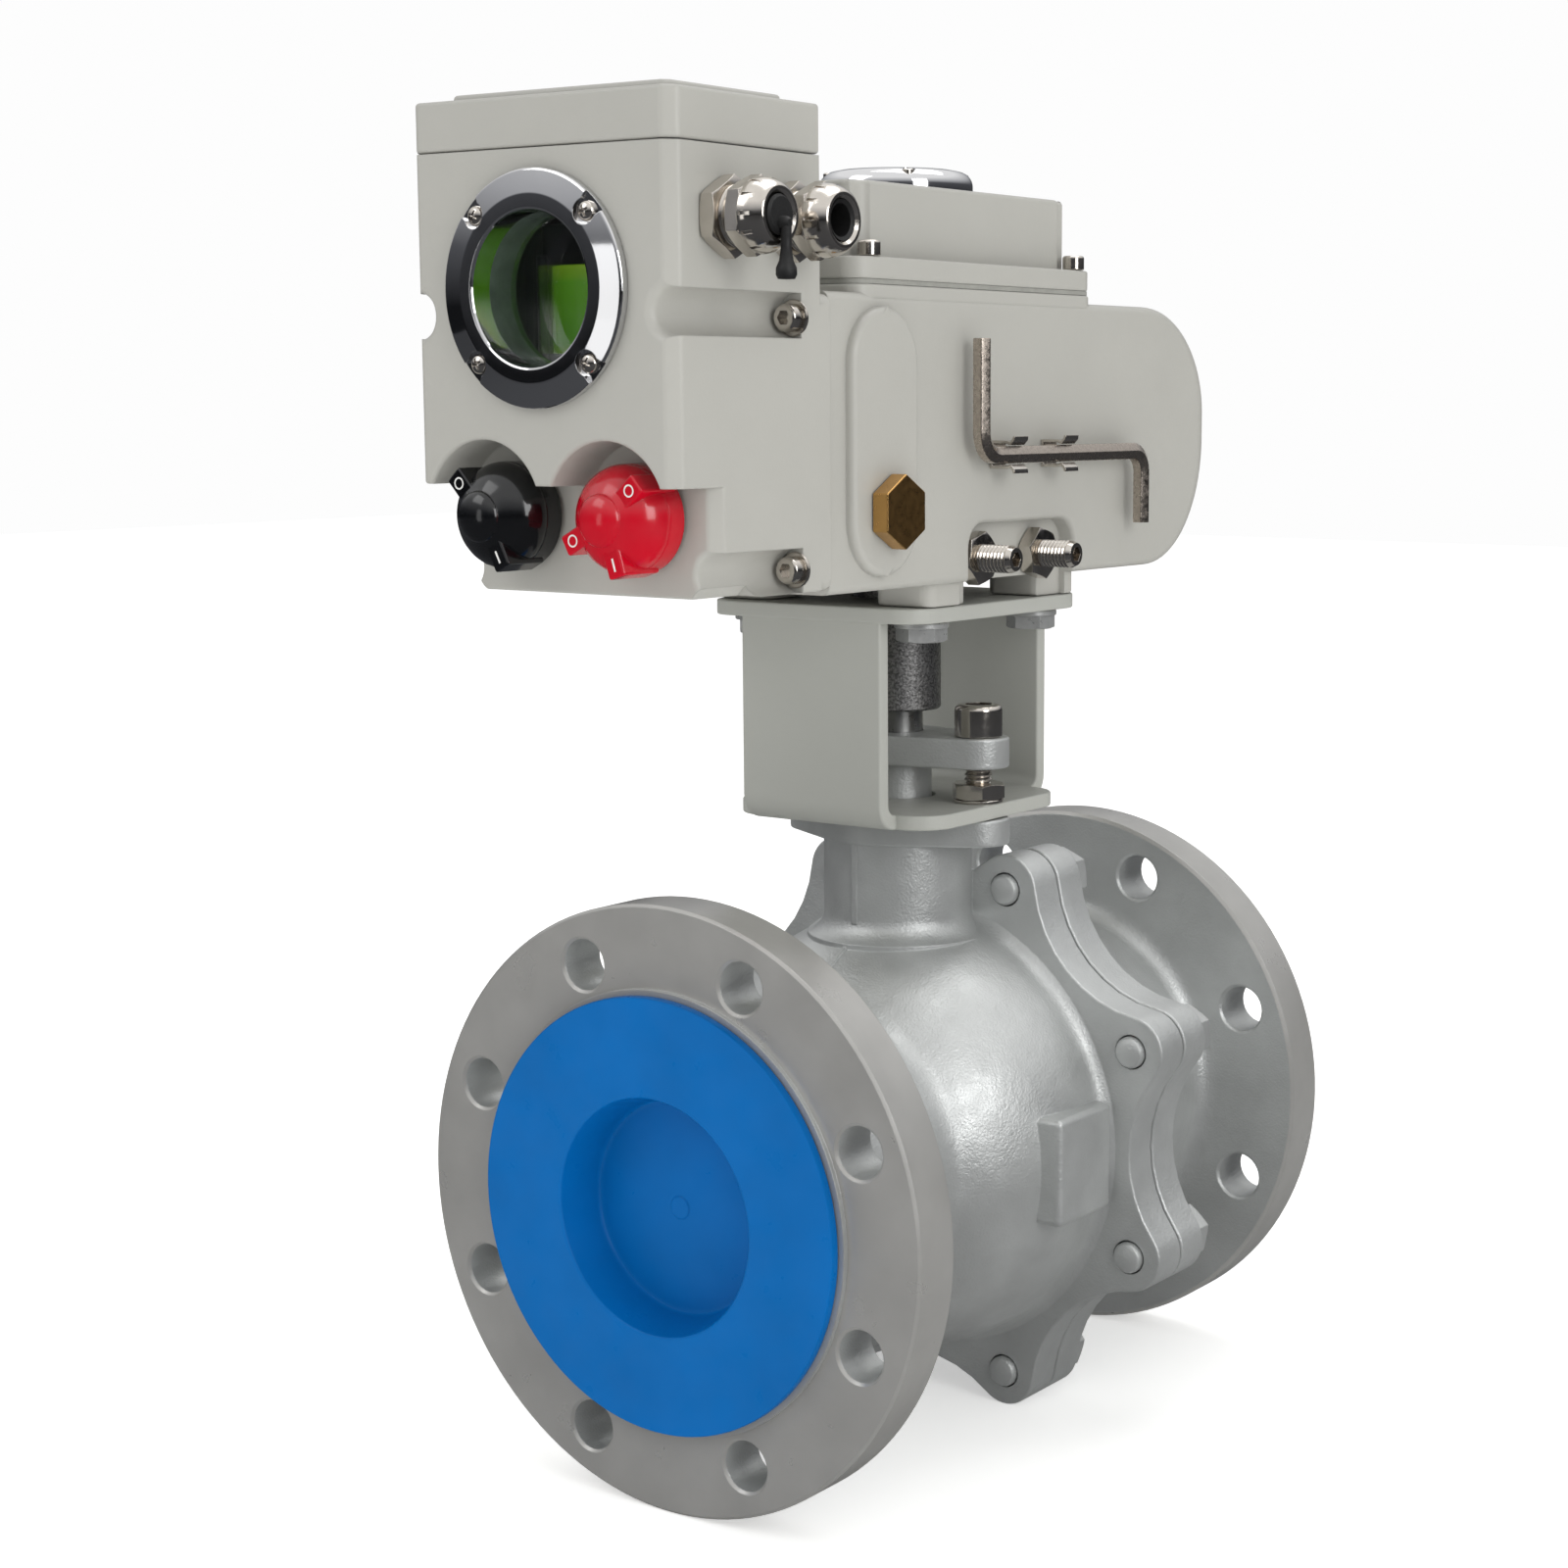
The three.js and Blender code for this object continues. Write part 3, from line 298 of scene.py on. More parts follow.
def piece(name, bm, material, body, replaces=(), crease=32, pick=None):
    """Finishes a shape as an object: into the frame, shaded, on its body, in place of CAD nodes.
    pick gives the place in the list of materials that a face takes."""
    materials = material if isinstance(material, list) else [material]
    bmesh.ops.remove_doubles(bm, verts=bm.verts, dist=2e-3)
    bmesh.ops.dissolve_degenerate(bm, dist=2e-3, edges=bm.edges)
    bm.normal_update()
    for face in bm.faces:
        face.smooth = True
        face.material_index = pick(face) if pick else 0
    for edge in bm.edges:
        edge.smooth = len(edge.link_faces) == 2 and edge.calc_face_angle(0) < radians(crease)
    bm.transform(TO_FRAME)
    mesh = bpy.data.meshes.new(name)
    bm.to_mesh(mesh)
    bm.free()
    for each in materials:
        mesh.materials.append(each)
    obj = bpy.data.objects.new(name, mesh)
    bpy.context.scene.collection.objects.link(obj)
    weighted = obj.modifiers.new("flat faces stay flat", "WEIGHTED_NORMAL")
    weighted.keep_sharp = True
    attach(obj, body)
    if replaces:
        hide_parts(*replaces)
    return obj


def around(count, r, first=22.5):
    """Places round the pipe axis, in (x, z)."""
    turns = [radians(first + i * 360 / count) for i in range(count)]
    return [(r * cos(a), PIPE_Z + r * sin(a)) for a in turns]


# ------------------------------------------------------------------ finishes
def linear(hexa, alpha=1.0):
    """An sRGB hex colour as linear RGBA."""
    parts = [int(hexa[i:i + 2], 16) / 255 for i in (1, 3, 5)]
    return tuple(c / 12.92 if c <= 0.04045 else ((c + 0.055) / 1.055) ** 2.4 for c in parts) + (alpha,)


def add(tree, kind, links=(), **settings):
    """Adds a node. A setting in capitals sets an input by name, any other sets a property."""
    node = tree.nodes.new(kind)
    for key, value in settings.items():
        if key[0].isupper():
            node.inputs[key.replace("_", " ")].default_value = value
        else:
            setattr(node, key, value)
    for source, socket in links:
        tree.links.new(source, node.inputs[socket])
    return node


def start(name, hexa, metallic, roughness, **settings):
    """A new material, its shader and its object coordinates."""
    material = bpy.data.materials.new(name)
    material.use_nodes = True
    tree = material.node_tree
    shader = tree.nodes["Principled BSDF"]
    shader.inputs["Base Color"].default_value = linear(hexa)
    shader.inputs["Metallic"].default_value = metallic
    shader.inputs["Roughness"].default_value = roughness
    for key, value in settings.items():
        shader.inputs[key.replace("_", " ")].default_value = value
    place = add(tree, "ShaderNodeTexCoord").outputs["Object"]
    return material, tree, shader, place


def per_mm(mm):
    """The scale of a noise whose blotches are that many millimetres apart."""
    return 1000.0 / mm


def shade(hexa, factor):
    return tuple(c * factor for c in linear(hexa)[:3]) + (1.0,)


def mottle(tree, shader, place, hexa, spread, mm, low=0.3, high=0.7):
    """Colour that drifts darker and lighter by that share, over patches of that size."""
    noise = add(tree, "ShaderNodeTexNoise", [(place, "Vector")], Scale=per_mm(mm), Detail=4.0)
    ramp = add(tree, "ShaderNodeValToRGB", [(noise.outputs["Fac"], "Fac")])
    for element, position, factor in zip(ramp.color_ramp.elements, (low, high), (1 - spread, 1 + spread)):
        element.position = position
        element.color = shade(hexa, factor)
    tree.links.new(ramp.outputs["Color"], shader.inputs["Base Color"])


def uneven_gloss(tree, shader, place, low, high, mm):
    noise = add(tree, "ShaderNodeTexNoise", [(place, "Vector")], Scale=per_mm(mm), Detail=5.0)
    spread = add(tree, "ShaderNodeMapRange", [(noise.outputs["Fac"], "Value")],
                 From_Min=0.3, From_Max=0.7, To_Min=low, To_Max=high)
    tree.links.new(spread.outputs["Result"], shader.inputs["Roughness"])


def relief(tree, shader, layers, height_mm, edge_mm=0.0):
    """Bump from several height sources, each an output and its share of the height. A width for
    the edges lets the coat run round them."""
    total = None
    for output, share in layers:
        scaled = add(tree, "ShaderNodeMath", [(output, 0)], operation="MULTIPLY")
        scaled.inputs[1].default_value = share
        if total is None:
            total = scaled.outputs[0]
        else:
            total = add(tree, "ShaderNodeMath", [(total, 0), (scaled.outputs[0], 1)]).outputs[0]
    bump = add(tree, "ShaderNodeBump", [(total, "Height")], Strength=1.0, Distance=height_mm / 1000)
    if edge_mm:
        worn = add(tree, "ShaderNodeBevel", Radius=edge_mm / 1000)
        tree.links.new(worn.outputs["Normal"], bump.inputs["Normal"])
    tree.links.new(bump.outputs["Normal"], shader.inputs["Normal"])


def blotches(tree, place, mm, detail=3.0, rough=0.5):
    return add(tree, "ShaderNodeTexNoise", [(place, "Vector")], Scale=per_mm(mm), Detail=detail,
               Roughness=rough).outputs["Fac"]


def strands(tree, place, stretch, mm):
    """Fine streaks, drawn out along one axis by the stretch vector."""
    drawn = add(tree, "ShaderNodeMapping", [(place, "Vector")], Scale=stretch)
    return add(tree, "ShaderNodeTexNoise", [(drawn.outputs["Vector"], "Vector")], Scale=per_mm(mm),
               Detail=6.0, Roughness=0.6).outputs["Fac"]


def silver_painted_casting(hexa):
    """Sand-cast iron under a coat of silver paint: soft sheen, a dimpled skin, slow waves."""
    material, tree, shader, place = start("silver painted casting", hexa, 0.65, 0.43)
    mottle(tree, shader, place, hexa, 0.1, 30)
    uneven_gloss(tree, shader, place, 0.36, 0.48, 9)
    relief(tree, shader, [(blotches(tree, place, 2.8), 0.35), (blotches(tree, place, 0.9), 0.45),
                          (blotches(tree, place, 20), 1.0)], 0.4, 0.8)
    return material


def turned_flange_face(hexa):
    """Painted over turned steel: the tool's rings show faintly, with a few handling marks."""
    material, tree, shader, place = start("turned flange face", hexa, 0.5, 0.4)
    mottle(tree, shader, place, hexa, 0.08, 30)
    uneven_gloss(tree, shader, place, 0.26, 0.42, 14)
    relief(tree, shader, [(blotches(tree, place, 1.3), 0.25), (blotches(tree, place, 5, 8.0, 0.7), 0.35)], 0.14, 0.5)
    return material


def powder_coat(name, hexa, roughness):
    """Polyester powder coat over metal: satin with a fine orange peel, run round every edge."""
    material, tree, shader, place = start(name, hexa, 0.0, roughness)
    mottle(tree, shader, place, hexa, 0.025, 60)
    uneven_gloss(tree, shader, place, roughness - 0.06, roughness + 0.06, 7)
    relief(tree, shader, [(blotches(tree, place, 1.5), 0.6), (blotches(tree, place, 0.5), 0.3),
                          (blotches(tree, place, 14), 0.8)], 0.08, 0.8)
    return material


def nickel_plate():
    """Bright nickel on steel fasteners: clean warm reflections, barely broken by handling."""
    hexa = "#D2CCC4"
    material, tree, shader, place = start("nickel plate", hexa, 1.0, 0.14)
    mottle(tree, shader, place, hexa, 0.05, 6)
    uneven_gloss(tree, shader, place, 0.1, 0.2, 4)
    relief(tree, shader, [(blotches(tree, place, 5), 1.0)], 0.02, 0.25)
    return material


def zinc_plate():
    """Blue-white zinc on steel bolts: satin, paler and duller than nickel."""
    hexa = "#C4C5C4"
    material, tree, shader, place = start("zinc plate", hexa, 0.7, 0.34)
    mottle(tree, shader, place, hexa, 0.08, 3)
    uneven_gloss(tree, shader, place, 0.26, 0.42, 2)
    relief(tree, shader, [(blotches(tree, place, 2), 1.0)], 0.03, 0.3)
    return material


def drawn_nickel_bar():
    """Drawn hexagon bar under thin nickel: the flats keep a mottled, pitted grain."""
    hexa = "#B4AAA0"
    material, tree, shader, place = start("nickel on drawn bar", hexa, 1.0, 0.24)
    mottle(tree, shader, place, hexa, 0.12, 1.1, 0.35, 0.65)
    uneven_gloss(tree, shader, place, 0.14, 0.34, 1.6)
    relief(tree, shader, [(blotches(tree, place, 0.9), 0.5), (blotches(tree, place, 4), 0.6)], 0.03, 0.3)
    return material


def polished_chrome():
    """Chrome over brass: mirror-bright, with a slow ripple from the polishing wheel."""
    material, tree, shader, place = start("polished chrome", "#DADADB", 1.0, 0.05)
    uneven_gloss(tree, shader, place, 0.03, 0.08, 12)
    relief(tree, shader, [(blotches(tree, place, 16), 1.0)], 0.03, 0.3)
    return material


def blasted_aluminium():
    """Turned and bead-blasted aluminium alloy: a dark, sparkling grain, drawn coarse to show."""
    hexa = "#8B8A89"
    material, tree, shader, place = start("blasted aluminium", hexa, 1.0, 0.45)
    mottle(tree, shader, place, hexa, 0.42, 0.9, 0.38, 0.62)
    uneven_gloss(tree, shader, place, 0.3, 0.6, 0.8)
    relief(tree, shader, [(blotches(tree, place, 0.8), 1.0)], 0.12)
    return material


def turned_steel():
    """Lathe-turned steel with an oil film: fine rings round the bar."""
    hexa = "#8F8F8E"
    material, tree, shader, place = start("turned steel", hexa, 1.0, 0.32)
    mottle(tree, shader, place, hexa, 0.1, 8)
    uneven_gloss(tree, shader, place, 0.24, 0.42, 5)
    relief(tree, shader, [(strands(tree, place, (0.15, 0.15, 1.0), 0.6), 1.0)], 0.05)
    return material


def turned_brass(centre_y, centre_z):
    """Brass bar, faced on a lathe and left bare: the tool's rings fan the light across the head."""
    hexa = "#C59A5E"
    material, tree, shader, place = start("turned brass", hexa, 1.0, 0.32)
    mottle(tree, shader, place, hexa, 0.06, 7)
    uneven_gloss(tree, shader, place, 0.26, 0.36, 2)
    centred = add(tree, "ShaderNodeMapping", [(place, "Vector")], Location=(0, -centre_y, -centre_z))
    rings = add(tree, "ShaderNodeTexWave", [(centred.outputs["Vector"], "Vector")], wave_type="RINGS",
                rings_direction="X", Scale=per_mm(0.8) / 20, Distortion=0.6)
    relief(tree, shader, [(rings.outputs["Fac"], 1.0), (blotches(tree, place, 3), 0.4)], 0.03, 0.3)
    return material


def hobbed_bronze():
    """Gear bronze, dull gold with oil stains."""
    hexa = "#A9834F"
    material, tree, shader, place = start("hobbed bronze", hexa, 1.0, 0.4)
    mottle(tree, shader, place, hexa, 0.15, 7)
    relief(tree, shader, [(blotches(tree, place, 1.0), 1.0)], 0.04)
    return material


def glossy_moulding(name, hexa, roughness):
    """Injection-moulded ABS from a polished tool: a clear gloss with faint flow waves."""
    material, tree, shader, place = start(name, hexa, 0.0, roughness, Coat_Weight=0.3, Coat_Roughness=0.05)
    mottle(tree, shader, place, hexa, 0.05, 12)
    uneven_gloss(tree, shader, place, roughness * 0.8, roughness * 1.4, 10)
    relief(tree, shader, [(blotches(tree, place, 7), 1.0), (blotches(tree, place, 0.6), 0.05)], 0.03, 0.4)
    return material


def blue_polyethylene(hexa):
    """Soft moulded polyethylene cap: a deep waxy blue, with shallow sink marks and scuffs."""
    material, tree, shader, place = start("blue polyethylene", hexa, 0.0, 0.34, Specular_IOR_Level=0.1)
    mottle(tree, shader, place, hexa, 0.08, 40)
    uneven_gloss(tree, shader, place, 0.26, 0.44, 12)
    relief(tree, shader, [(blotches(tree, place, 9), 0.7), (blotches(tree, place, 1.4), 0.12)], 0.12, 0.5)
    return material


def moulded_rubber(name, hexa):
    """Moulded nitrile or silicone rubber: dull, faintly grained."""
    material, tree, shader, place = start(name, hexa, 0.0, 0.6)
    mottle(tree, shader, place, hexa, 0.1, 5)
    uneven_gloss(tree, shader, place, 0.5, 0.72, 3)
    relief(tree, shader, [(blotches(tree, place, 0.8), 1.0)], 0.05)
    return material


def white_ptfe():
    """Moulded PTFE: waxy white."""
    hexa = "#E8E8E4"
    material, tree, shader, place = start("white PTFE", hexa, 0.0, 0.45)
    mottle(tree, shader, place, hexa, 0.03, 10)
    relief(tree, shader, [(blotches(tree, place, 3), 1.0)], 0.04)
    return material


def pressed_graphite():
    """Pressed flake graphite: dark, with a slight metallic glint."""
    hexa = "#353537"
    material, tree, shader, place = start("pressed graphite", hexa, 0.4, 0.5)
    mottle(tree, shader, place, hexa, 0.25, 3)
    relief(tree, shader, [(blotches(tree, place, 0.9), 1.0)], 0.08)
    return material


def clear_polycarbonate():
    """A clear moulded window: almost invisible but for its reflections."""
    material, tree, shader, place = start("clear polycarbonate", "#FAFCFB", 0.0, 0.02, IOR=1.49,
                                          Transmission_Weight=1.0, Alpha=0.2)
    relief(tree, shader, [(blotches(tree, place, 20), 1.0)], 0.01)
    return material


def sleeve_painted_reflection():
    """The inner wall of the window ring: grey-green, a painted reflection of the green drum, with the rings of the
    cutter.
    """
    hexa = "#59635E"
    material, tree, shader, place = start("window ring wall with painted reflection", hexa, 0.3, 0.25)
    mottle(tree, shader, place, hexa, 0.2, 9)
    relief(tree, shader, [(strands(tree, place, (0.1, 1.0, 0.1), 1.6), 1.0)], 0.1)
    return material


def display_drum():
    """A translucent green indicating drum with a gloss skin. It glows faintly as painted light, with no lamp inside,
    and its colour runs lighter towards the top as painted light.
    """
    hexa = "#4C8A1C"
    # the emission is a painted glow: there is no lamp behind the drum
    material, tree, shader, place = start("green drum", hexa, 0.0, 0.16, Coat_Weight=0.5, Emission_Strength=0.16,
                                          Emission_Color=linear("#5C9A12"))
    height = add(tree, "ShaderNodeSeparateXYZ", [(place, "Vector")])
    low, high = (v / 1000 for v in DRUM_Z)
    level = add(tree, "ShaderNodeMapRange", [(height.outputs["Z"], "Value")], From_Min=low, From_Max=high)
    # painted light: the drum's colour is darkest just above its foot and grows lighter towards the top
    painted_light_by_height = add(tree, "ShaderNodeValToRGB", [(level.outputs["Result"], "Fac")])
    painted_light_by_height.color_ramp.elements[0].color = linear("#5A7A1C")
    painted_light_by_height.color_ramp.elements[1].color = linear("#86A81C")
    painted_light_by_height.color_ramp.elements.new(0.12).color = linear("#3E7A1E")
    painted_light_by_height.color_ramp.elements.new(0.8).color = linear("#54901C")
    tree.links.new(painted_light_by_height.outputs["Color"], shader.inputs["Base Color"])
    relief(tree, shader, [(blotches(tree, place, 6), 1.0)], 0.05)
    return material


def white_print():
    """Screen-printed white ink, slightly worn."""
    hexa = "#D9D9D6"
    material, tree, shader, place = start("white print", hexa, 0.0, 0.5)
    mottle(tree, shader, place, hexa, 0.1, 2)
    return material


def painted_shade_interior():
    """The inside of the box, coloured near black as painted shade."""
    hexa = "#121313"
    material, tree, shader, place = start("interior in painted shade", hexa, 0.0, 0.6)
    mottle(tree, shader, place, hexa, 0.2, 8)
    relief(tree, shader, [(blotches(tree, place, 2), 1.0)], 0.05)
    return material


FINISHES = {}


class VALVE_OT_finishes(bpy.types.Operator):
    """Mixes the finishes and puts them on the CAD nodes that stay in view"""
    bl_idname = "valve.finishes"
    bl_label = "Finishes"

    # the finish of each CAD node that isn't modelled again
    KEPT = {
        "ptfe": ("seat_front", "seat_rear"),
        "graphite": ("body_gasket", "stem_packing"),
        "chrome": ("ball",),
        "steel": ("output_shaft", "worm_shaft", "idler_gear", "motor_pinion", "manual_shaft", "drive_motor"),
        "bronze": ("worm_wheel",),
    }

    def execute(self, context):
        tints = context.scene.valve_colours
        FINISHES.update({
            "silver": silver_painted_casting(tints.silver),
            "face": turned_flange_face(tints.face),
            "enamel": powder_coat("grey powder coat", tints.enamel, 0.38),
            "bracket": powder_coat("powder coat on sheet", tints.sheet, 0.46),
            "nickel": nickel_plate(),
            "zinc": zinc_plate(),
            "bar": drawn_nickel_bar(),
            "chrome": polished_chrome(),
            "aluminium": blasted_aluminium(),
            "steel": turned_steel(),
            "brass": turned_brass(middle("brass_plug").y, middle("brass_plug").z),
            "bronze": hobbed_bronze(),
            "black": glossy_moulding("black ABS", tints.black, 0.14),
            "red": glossy_moulding("red ABS", tints.red, 0.18),
            "blue": blue_polyethylene(tints.blue),
            "rubber": moulded_rubber("black nitrile rubber", "#141414"),
            "gasket": moulded_rubber("grey silicone rubber", "#8C8C86"),
            "ptfe": white_ptfe(),
            "graphite": pressed_graphite(),
            "clear": clear_polycarbonate(),
            "sleeve": sleeve_painted_reflection(),
            "display": display_drum(),
            "white": white_print(),
            "dark": painted_shade_interior(),
        })
        for key, nodes in self.KEPT.items():
            for name in nodes:
                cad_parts[name].data.materials.clear()
                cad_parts[name].data.materials.append(FINISHES[key])
        return {"FINISHED"}


# ------------------------------------------------------------------ valve
def split_outline(valve):
    """The split flange: a lobe round each stud, running into hollow arcs tangent to it."""
    half = pi / 8
    lobe_r = PIPE_Z - valve.stud_circle_r * sin(3 * half)
    across = valve.stud_circle_r * cos(half)
    gain = valve.stud_circle_r ** 2 + valve.valley_r ** 2 - 2 * valve.valley_r * across - lobe_r ** 2
    hollow_r = gain / (2 * (lobe_r - valve.valley_r + across))
    hollow_at = valve.valley_r + hollow_r
    lean = atan2(valve.stud_circle_r * sin(half), hollow_at - across) * 180 / pi
    points = []
    for i in range(8):
        turn = 22.5 + i * 45
        stud = valve.stud_circle_r * cos(radians(turn)), PIPE_Z + valve.stud_circle_r * sin(radians(turn))
        swing = 22.5 + lean
        points += arc(stud, lobe_r, turn - swing, turn + swing, 14)
        valley = turn + 22.5
        hollow = hollow_at * cos(radians(valley)), PIPE_Z + hollow_at * sin(radians(valley))
        points += arc(hollow, hollow_r, valley + 180 + lean, valley + 180 - lean, 8)[1:-1]
    return points


def hole_tool(r, start, end, at, steps=28):
    """A hole with a one-millimetre chamfer at both mouths."""
    profile = [(0, start - 1), (r + 2, start - 1), (r, start + 1), (r, end - 1), (r + 2, end + 1), (0, end + 1)]
    return spun("y", profile, at, steps)


def hub_to_barrel(valve, barrel_y, flange_end):
    """Profile points from the flange's rear face along the hub and over the barrel."""
    root = 8.0
    blend = 14.0
    centre_r = valve.hub_r + blend
    reach = sqrt((valve.barrel_r + blend) ** 2 - centre_r ** 2)
    touch = atan2(-reach, centre_r) * 180 / pi
    return (arc((valve.hub_r + root, flange_end + root), root, -90, -180, 6)
            + arc((centre_r, barrel_y - reach), blend, 180, 180 + touch, 8)
            + sphere_profile(valve.barrel_r, barrel_y, touch, 3.2, 20)[1:])


def is_turned_face(valve):
    """Whether a face belongs to the flange's turned front or its rim."""
    def pick(face):
        place = face.calc_center_median()
        out = sqrt(place.x ** 2 + (place.z - PIPE_Z) ** 2)
        on_front = abs(place.y) > valve.face_y - 0.6 and abs(face.normal.y) > 0.5
        return 1 if on_front or (out > valve.flange_r - 0.9 and abs(place.y) > valve.face_y - valve.flange_t) else 0
    return pick


class VALVE_OT_body(bpy.types.Operator):
    """Casts the valve body: pipe flange, hub, barrel, split flange, neck and mounting pad"""
    bl_idname = "valve.body"
    bl_label = "Valve body"

    def execute(self, context):
        valve = context.scene.valve_sizes
        face, end = -valve.face_y, -valve.face_y + valve.flange_t
        barrel_y, cavity_r, seat_r = 4.0, 76.5, 60.0
        outer = ([(valve.bore_r, face - 2), (valve.raised_r, face - 2), (valve.raised_r, face)]
                 + [(valve.flange_r - 1, face), (valve.flange_r, face + 1), (valve.flange_r, end - 1)]
                 + [(valve.flange_r - 1.4, end)] + hub_to_barrel(valve, barrel_y, end)
                 + arc((90.6, 8.8), 6.2, 180, 90, 4)[1:] + [(91, 15.5), (91, 29.5), (cavity_r, 29.5)]
                 + sphere_profile(cavity_r, 0.0, 0.0, -degrees_on(cavity_r, 47.0), 8))
        shell = spun("y", outer + [(seat_r, -60.3), (valve.bore_r, -60.3)], (0, PIPE_Z), 128)
        split = softened(slab("y", split_outline(valve), 14.5, 30.5), 0.9, angle=50)
        split = cut(split, rod("y", cavity_r + 4, 10, 35, (0, PIPE_Z), 96))
        body = combine(shell, split)
        seam = slab("x", arc((barrel_y, PIPE_Z), valve.barrel_r + 0.75, 96, 140, 14)
                    + arc((barrel_y, PIPE_Z), valve.barrel_r - 3, 140, 96, 14), -0.8, 0.8)
        flare = [(valve.neck_r, 196)] + neck_flare(valve)
        foot_r = cavity_r + 1.8  # the neck's foot stays in the barrel's wall, clear of the cavity
        foot = [(r, PIPE_Z + sqrt(foot_r ** 2 - r ** 2)) for r in (0, 7, 14, 21, 28, 34.5)]
        neck = spun("z", foot + flare[::-1] + [(valve.neck_r, 222), (0, 222)], (0, 0), 96)
        neck = cut(neck, block((-60, 60), (30.45, 60), (150, 206)))
        neck_seam = block((-1.1, 1.3), (-valve.neck_r - 0.7, -valve.neck_r + 2), (191, 221.5))
        pad = softened(slab("z", oval(29.5, 12, 36), 221, 231), 1.0, angle=50)
        sides = [softened(block(xs, (-23.5, 12), (PIPE_Z - 20, PIPE_Z + 20)), 2.5, angle=50)
                 for xs in ((76, 88), (-88, -76))]
        for part in [seam, neck, neck_seam, pad] + sides:
            body = combine(body, part)
        bores = [rod("z", 9.8, PIPE_Z, 240, steps=40), rod("z", 13.1, 205, 240, steps=40)]
        bores = [combine(bores[0], bores[1], spun("z", [(0, 160), (13, 160), (13, 189.3), (0, 189.3)], steps=40),
                         overlapping=True)]
        bores += [hole_tool(valve.bolt_hole_r, face, end, at) for at in around(8, valve.bolt_circle_r)]
        bores += [rod("y", 6.5, 8, 33, at, 24) for at in around(8, valve.stud_circle_r)]
        bores += [rod("z", 5.6, 224, 233, (s * 36.5, 0), 24) for s in SIDES]
        body = cut(body, *bores)
        piece("valve_body_casting", body, [FINISHES["silver"], FINISHES["face"]], "valve",
              replaces=["valve_body"], pick=is_turned_face(valve))
        return {"FINISHED"}


def degrees_on(r, along):
    """The angle at which a point that far along its axis lies on a ball of that radius."""
    return asin(along / r) * 180 / pi


def sphere_profile(r, centre, start, end, steps):
    """Points of a ball's outline between two angles from its waist, as [radius, station]."""
    angles = [radians(start + (end - start) * i / steps) for i in range(steps + 1)]
    return [(r * cos(a), centre + r * sin(a)) for a in angles]


def neck_flare(valve):
    """The fillet from the neck on to the barrel, ending a little inside it."""
    root = 9.0
    centre_r = valve.neck_r + root
    rise = sqrt((valve.barrel_r + root) ** 2 - centre_r ** 2)
    centre = (centre_r, PIPE_Z + rise)
    low = 180 + atan2(rise, centre_r) * 180 / pi
    return arc(centre, root, 180, low, 8) + [(34.5, PIPE_Z + rise * 0.9)]


class VALVE_OT_adapter(bpy.types.Operator):
    """Casts the end adapter with its split flange and rear pipe flange"""
    bl_idname = "valve.adapter"
    bl_label = "End adapter"

    def execute(self, context):
        valve = context.scene.valve_sizes
        face, end = valve.face_y, valve.face_y - valve.flange_t
        cavity_r, seat_r = 76.5, 60.3
        profile = ([(valve.bore_r, face + 2), (valve.raised_r, face + 2), (valve.raised_r, face)]
                   + [(valve.flange_r - 1, face), (valve.flange_r, face - 1), (valve.flange_r, end + 1)]
                   + [(valve.flange_r - 1.4, end)] + arc((74, end - 8), 8, 90, 180, 6)
                   + [(69, 70)] + arc((79, 57), 10, 196, 250, 5) + [(84, 46), (90, 46), (90, 32.7)]
                   + [(cavity_r - 0.4, 32.7), (cavity_r - 0.4, 22)]
                   + sphere_profile(cavity_r, 0.0, degrees_on(cavity_r, 22.0), degrees_on(cavity_r, 47.0), 6)
                   + [(seat_r, 60.3), (valve.bore_r, 60.3)])
        shell = spun("y", profile, (0, PIPE_Z), 128)
        split = softened(slab("y", split_outline(valve), 31.7, 47.5), 0.9, angle=50)
        split = cut(split, rod("y", cavity_r + 3, 30, 49, (0, PIPE_Z), 96))
        body = combine(shell, split)
        bores = [hole_tool(valve.bolt_hole_r, end, face, at) for at in around(8, valve.bolt_circle_r)]
        bores += [rod("y", 6.5, 30, 52, at, 24) for at in around(8, valve.stud_circle_r)]
        piece("end_adapter_casting", cut(body, *bores), [FINISHES["silver"], FINISHES["face"]], "valve",
              replaces=["end_adapter"], pick=is_turned_face(valve))
        return {"FINISHED"}


class VALVE_OT_studs(bpy.types.Operator):
    """Sets the eight body studs with their nuts"""
    bl_idname = "valve.studs"
    bl_label = "Body studs"

    def execute(self, context):
        valve = context.scene.valve_sizes
        for i, at in enumerate(around(8, valve.stud_circle_r)):
            tip = [(0, 11.5), (3.6, 11.6), (5.2, 12.4), (5.9, 13.6), (5.9, 47), (0, 47)]
            stud = merged(spun("y", tip, at, 32), thread("y", 5.9, 46.9, 61.4, 1.75, at),
                          hex_head("y", 18.5, 47.8, 57.8, at, 30 + 7 * i, both=True))
            piece(f"stud_and_nut_{i + 1}", stud, FINISHES["silver"], "valve",
                  replaces=[f"body_stud_{i + 1}"])
        return {"FINISHED"}


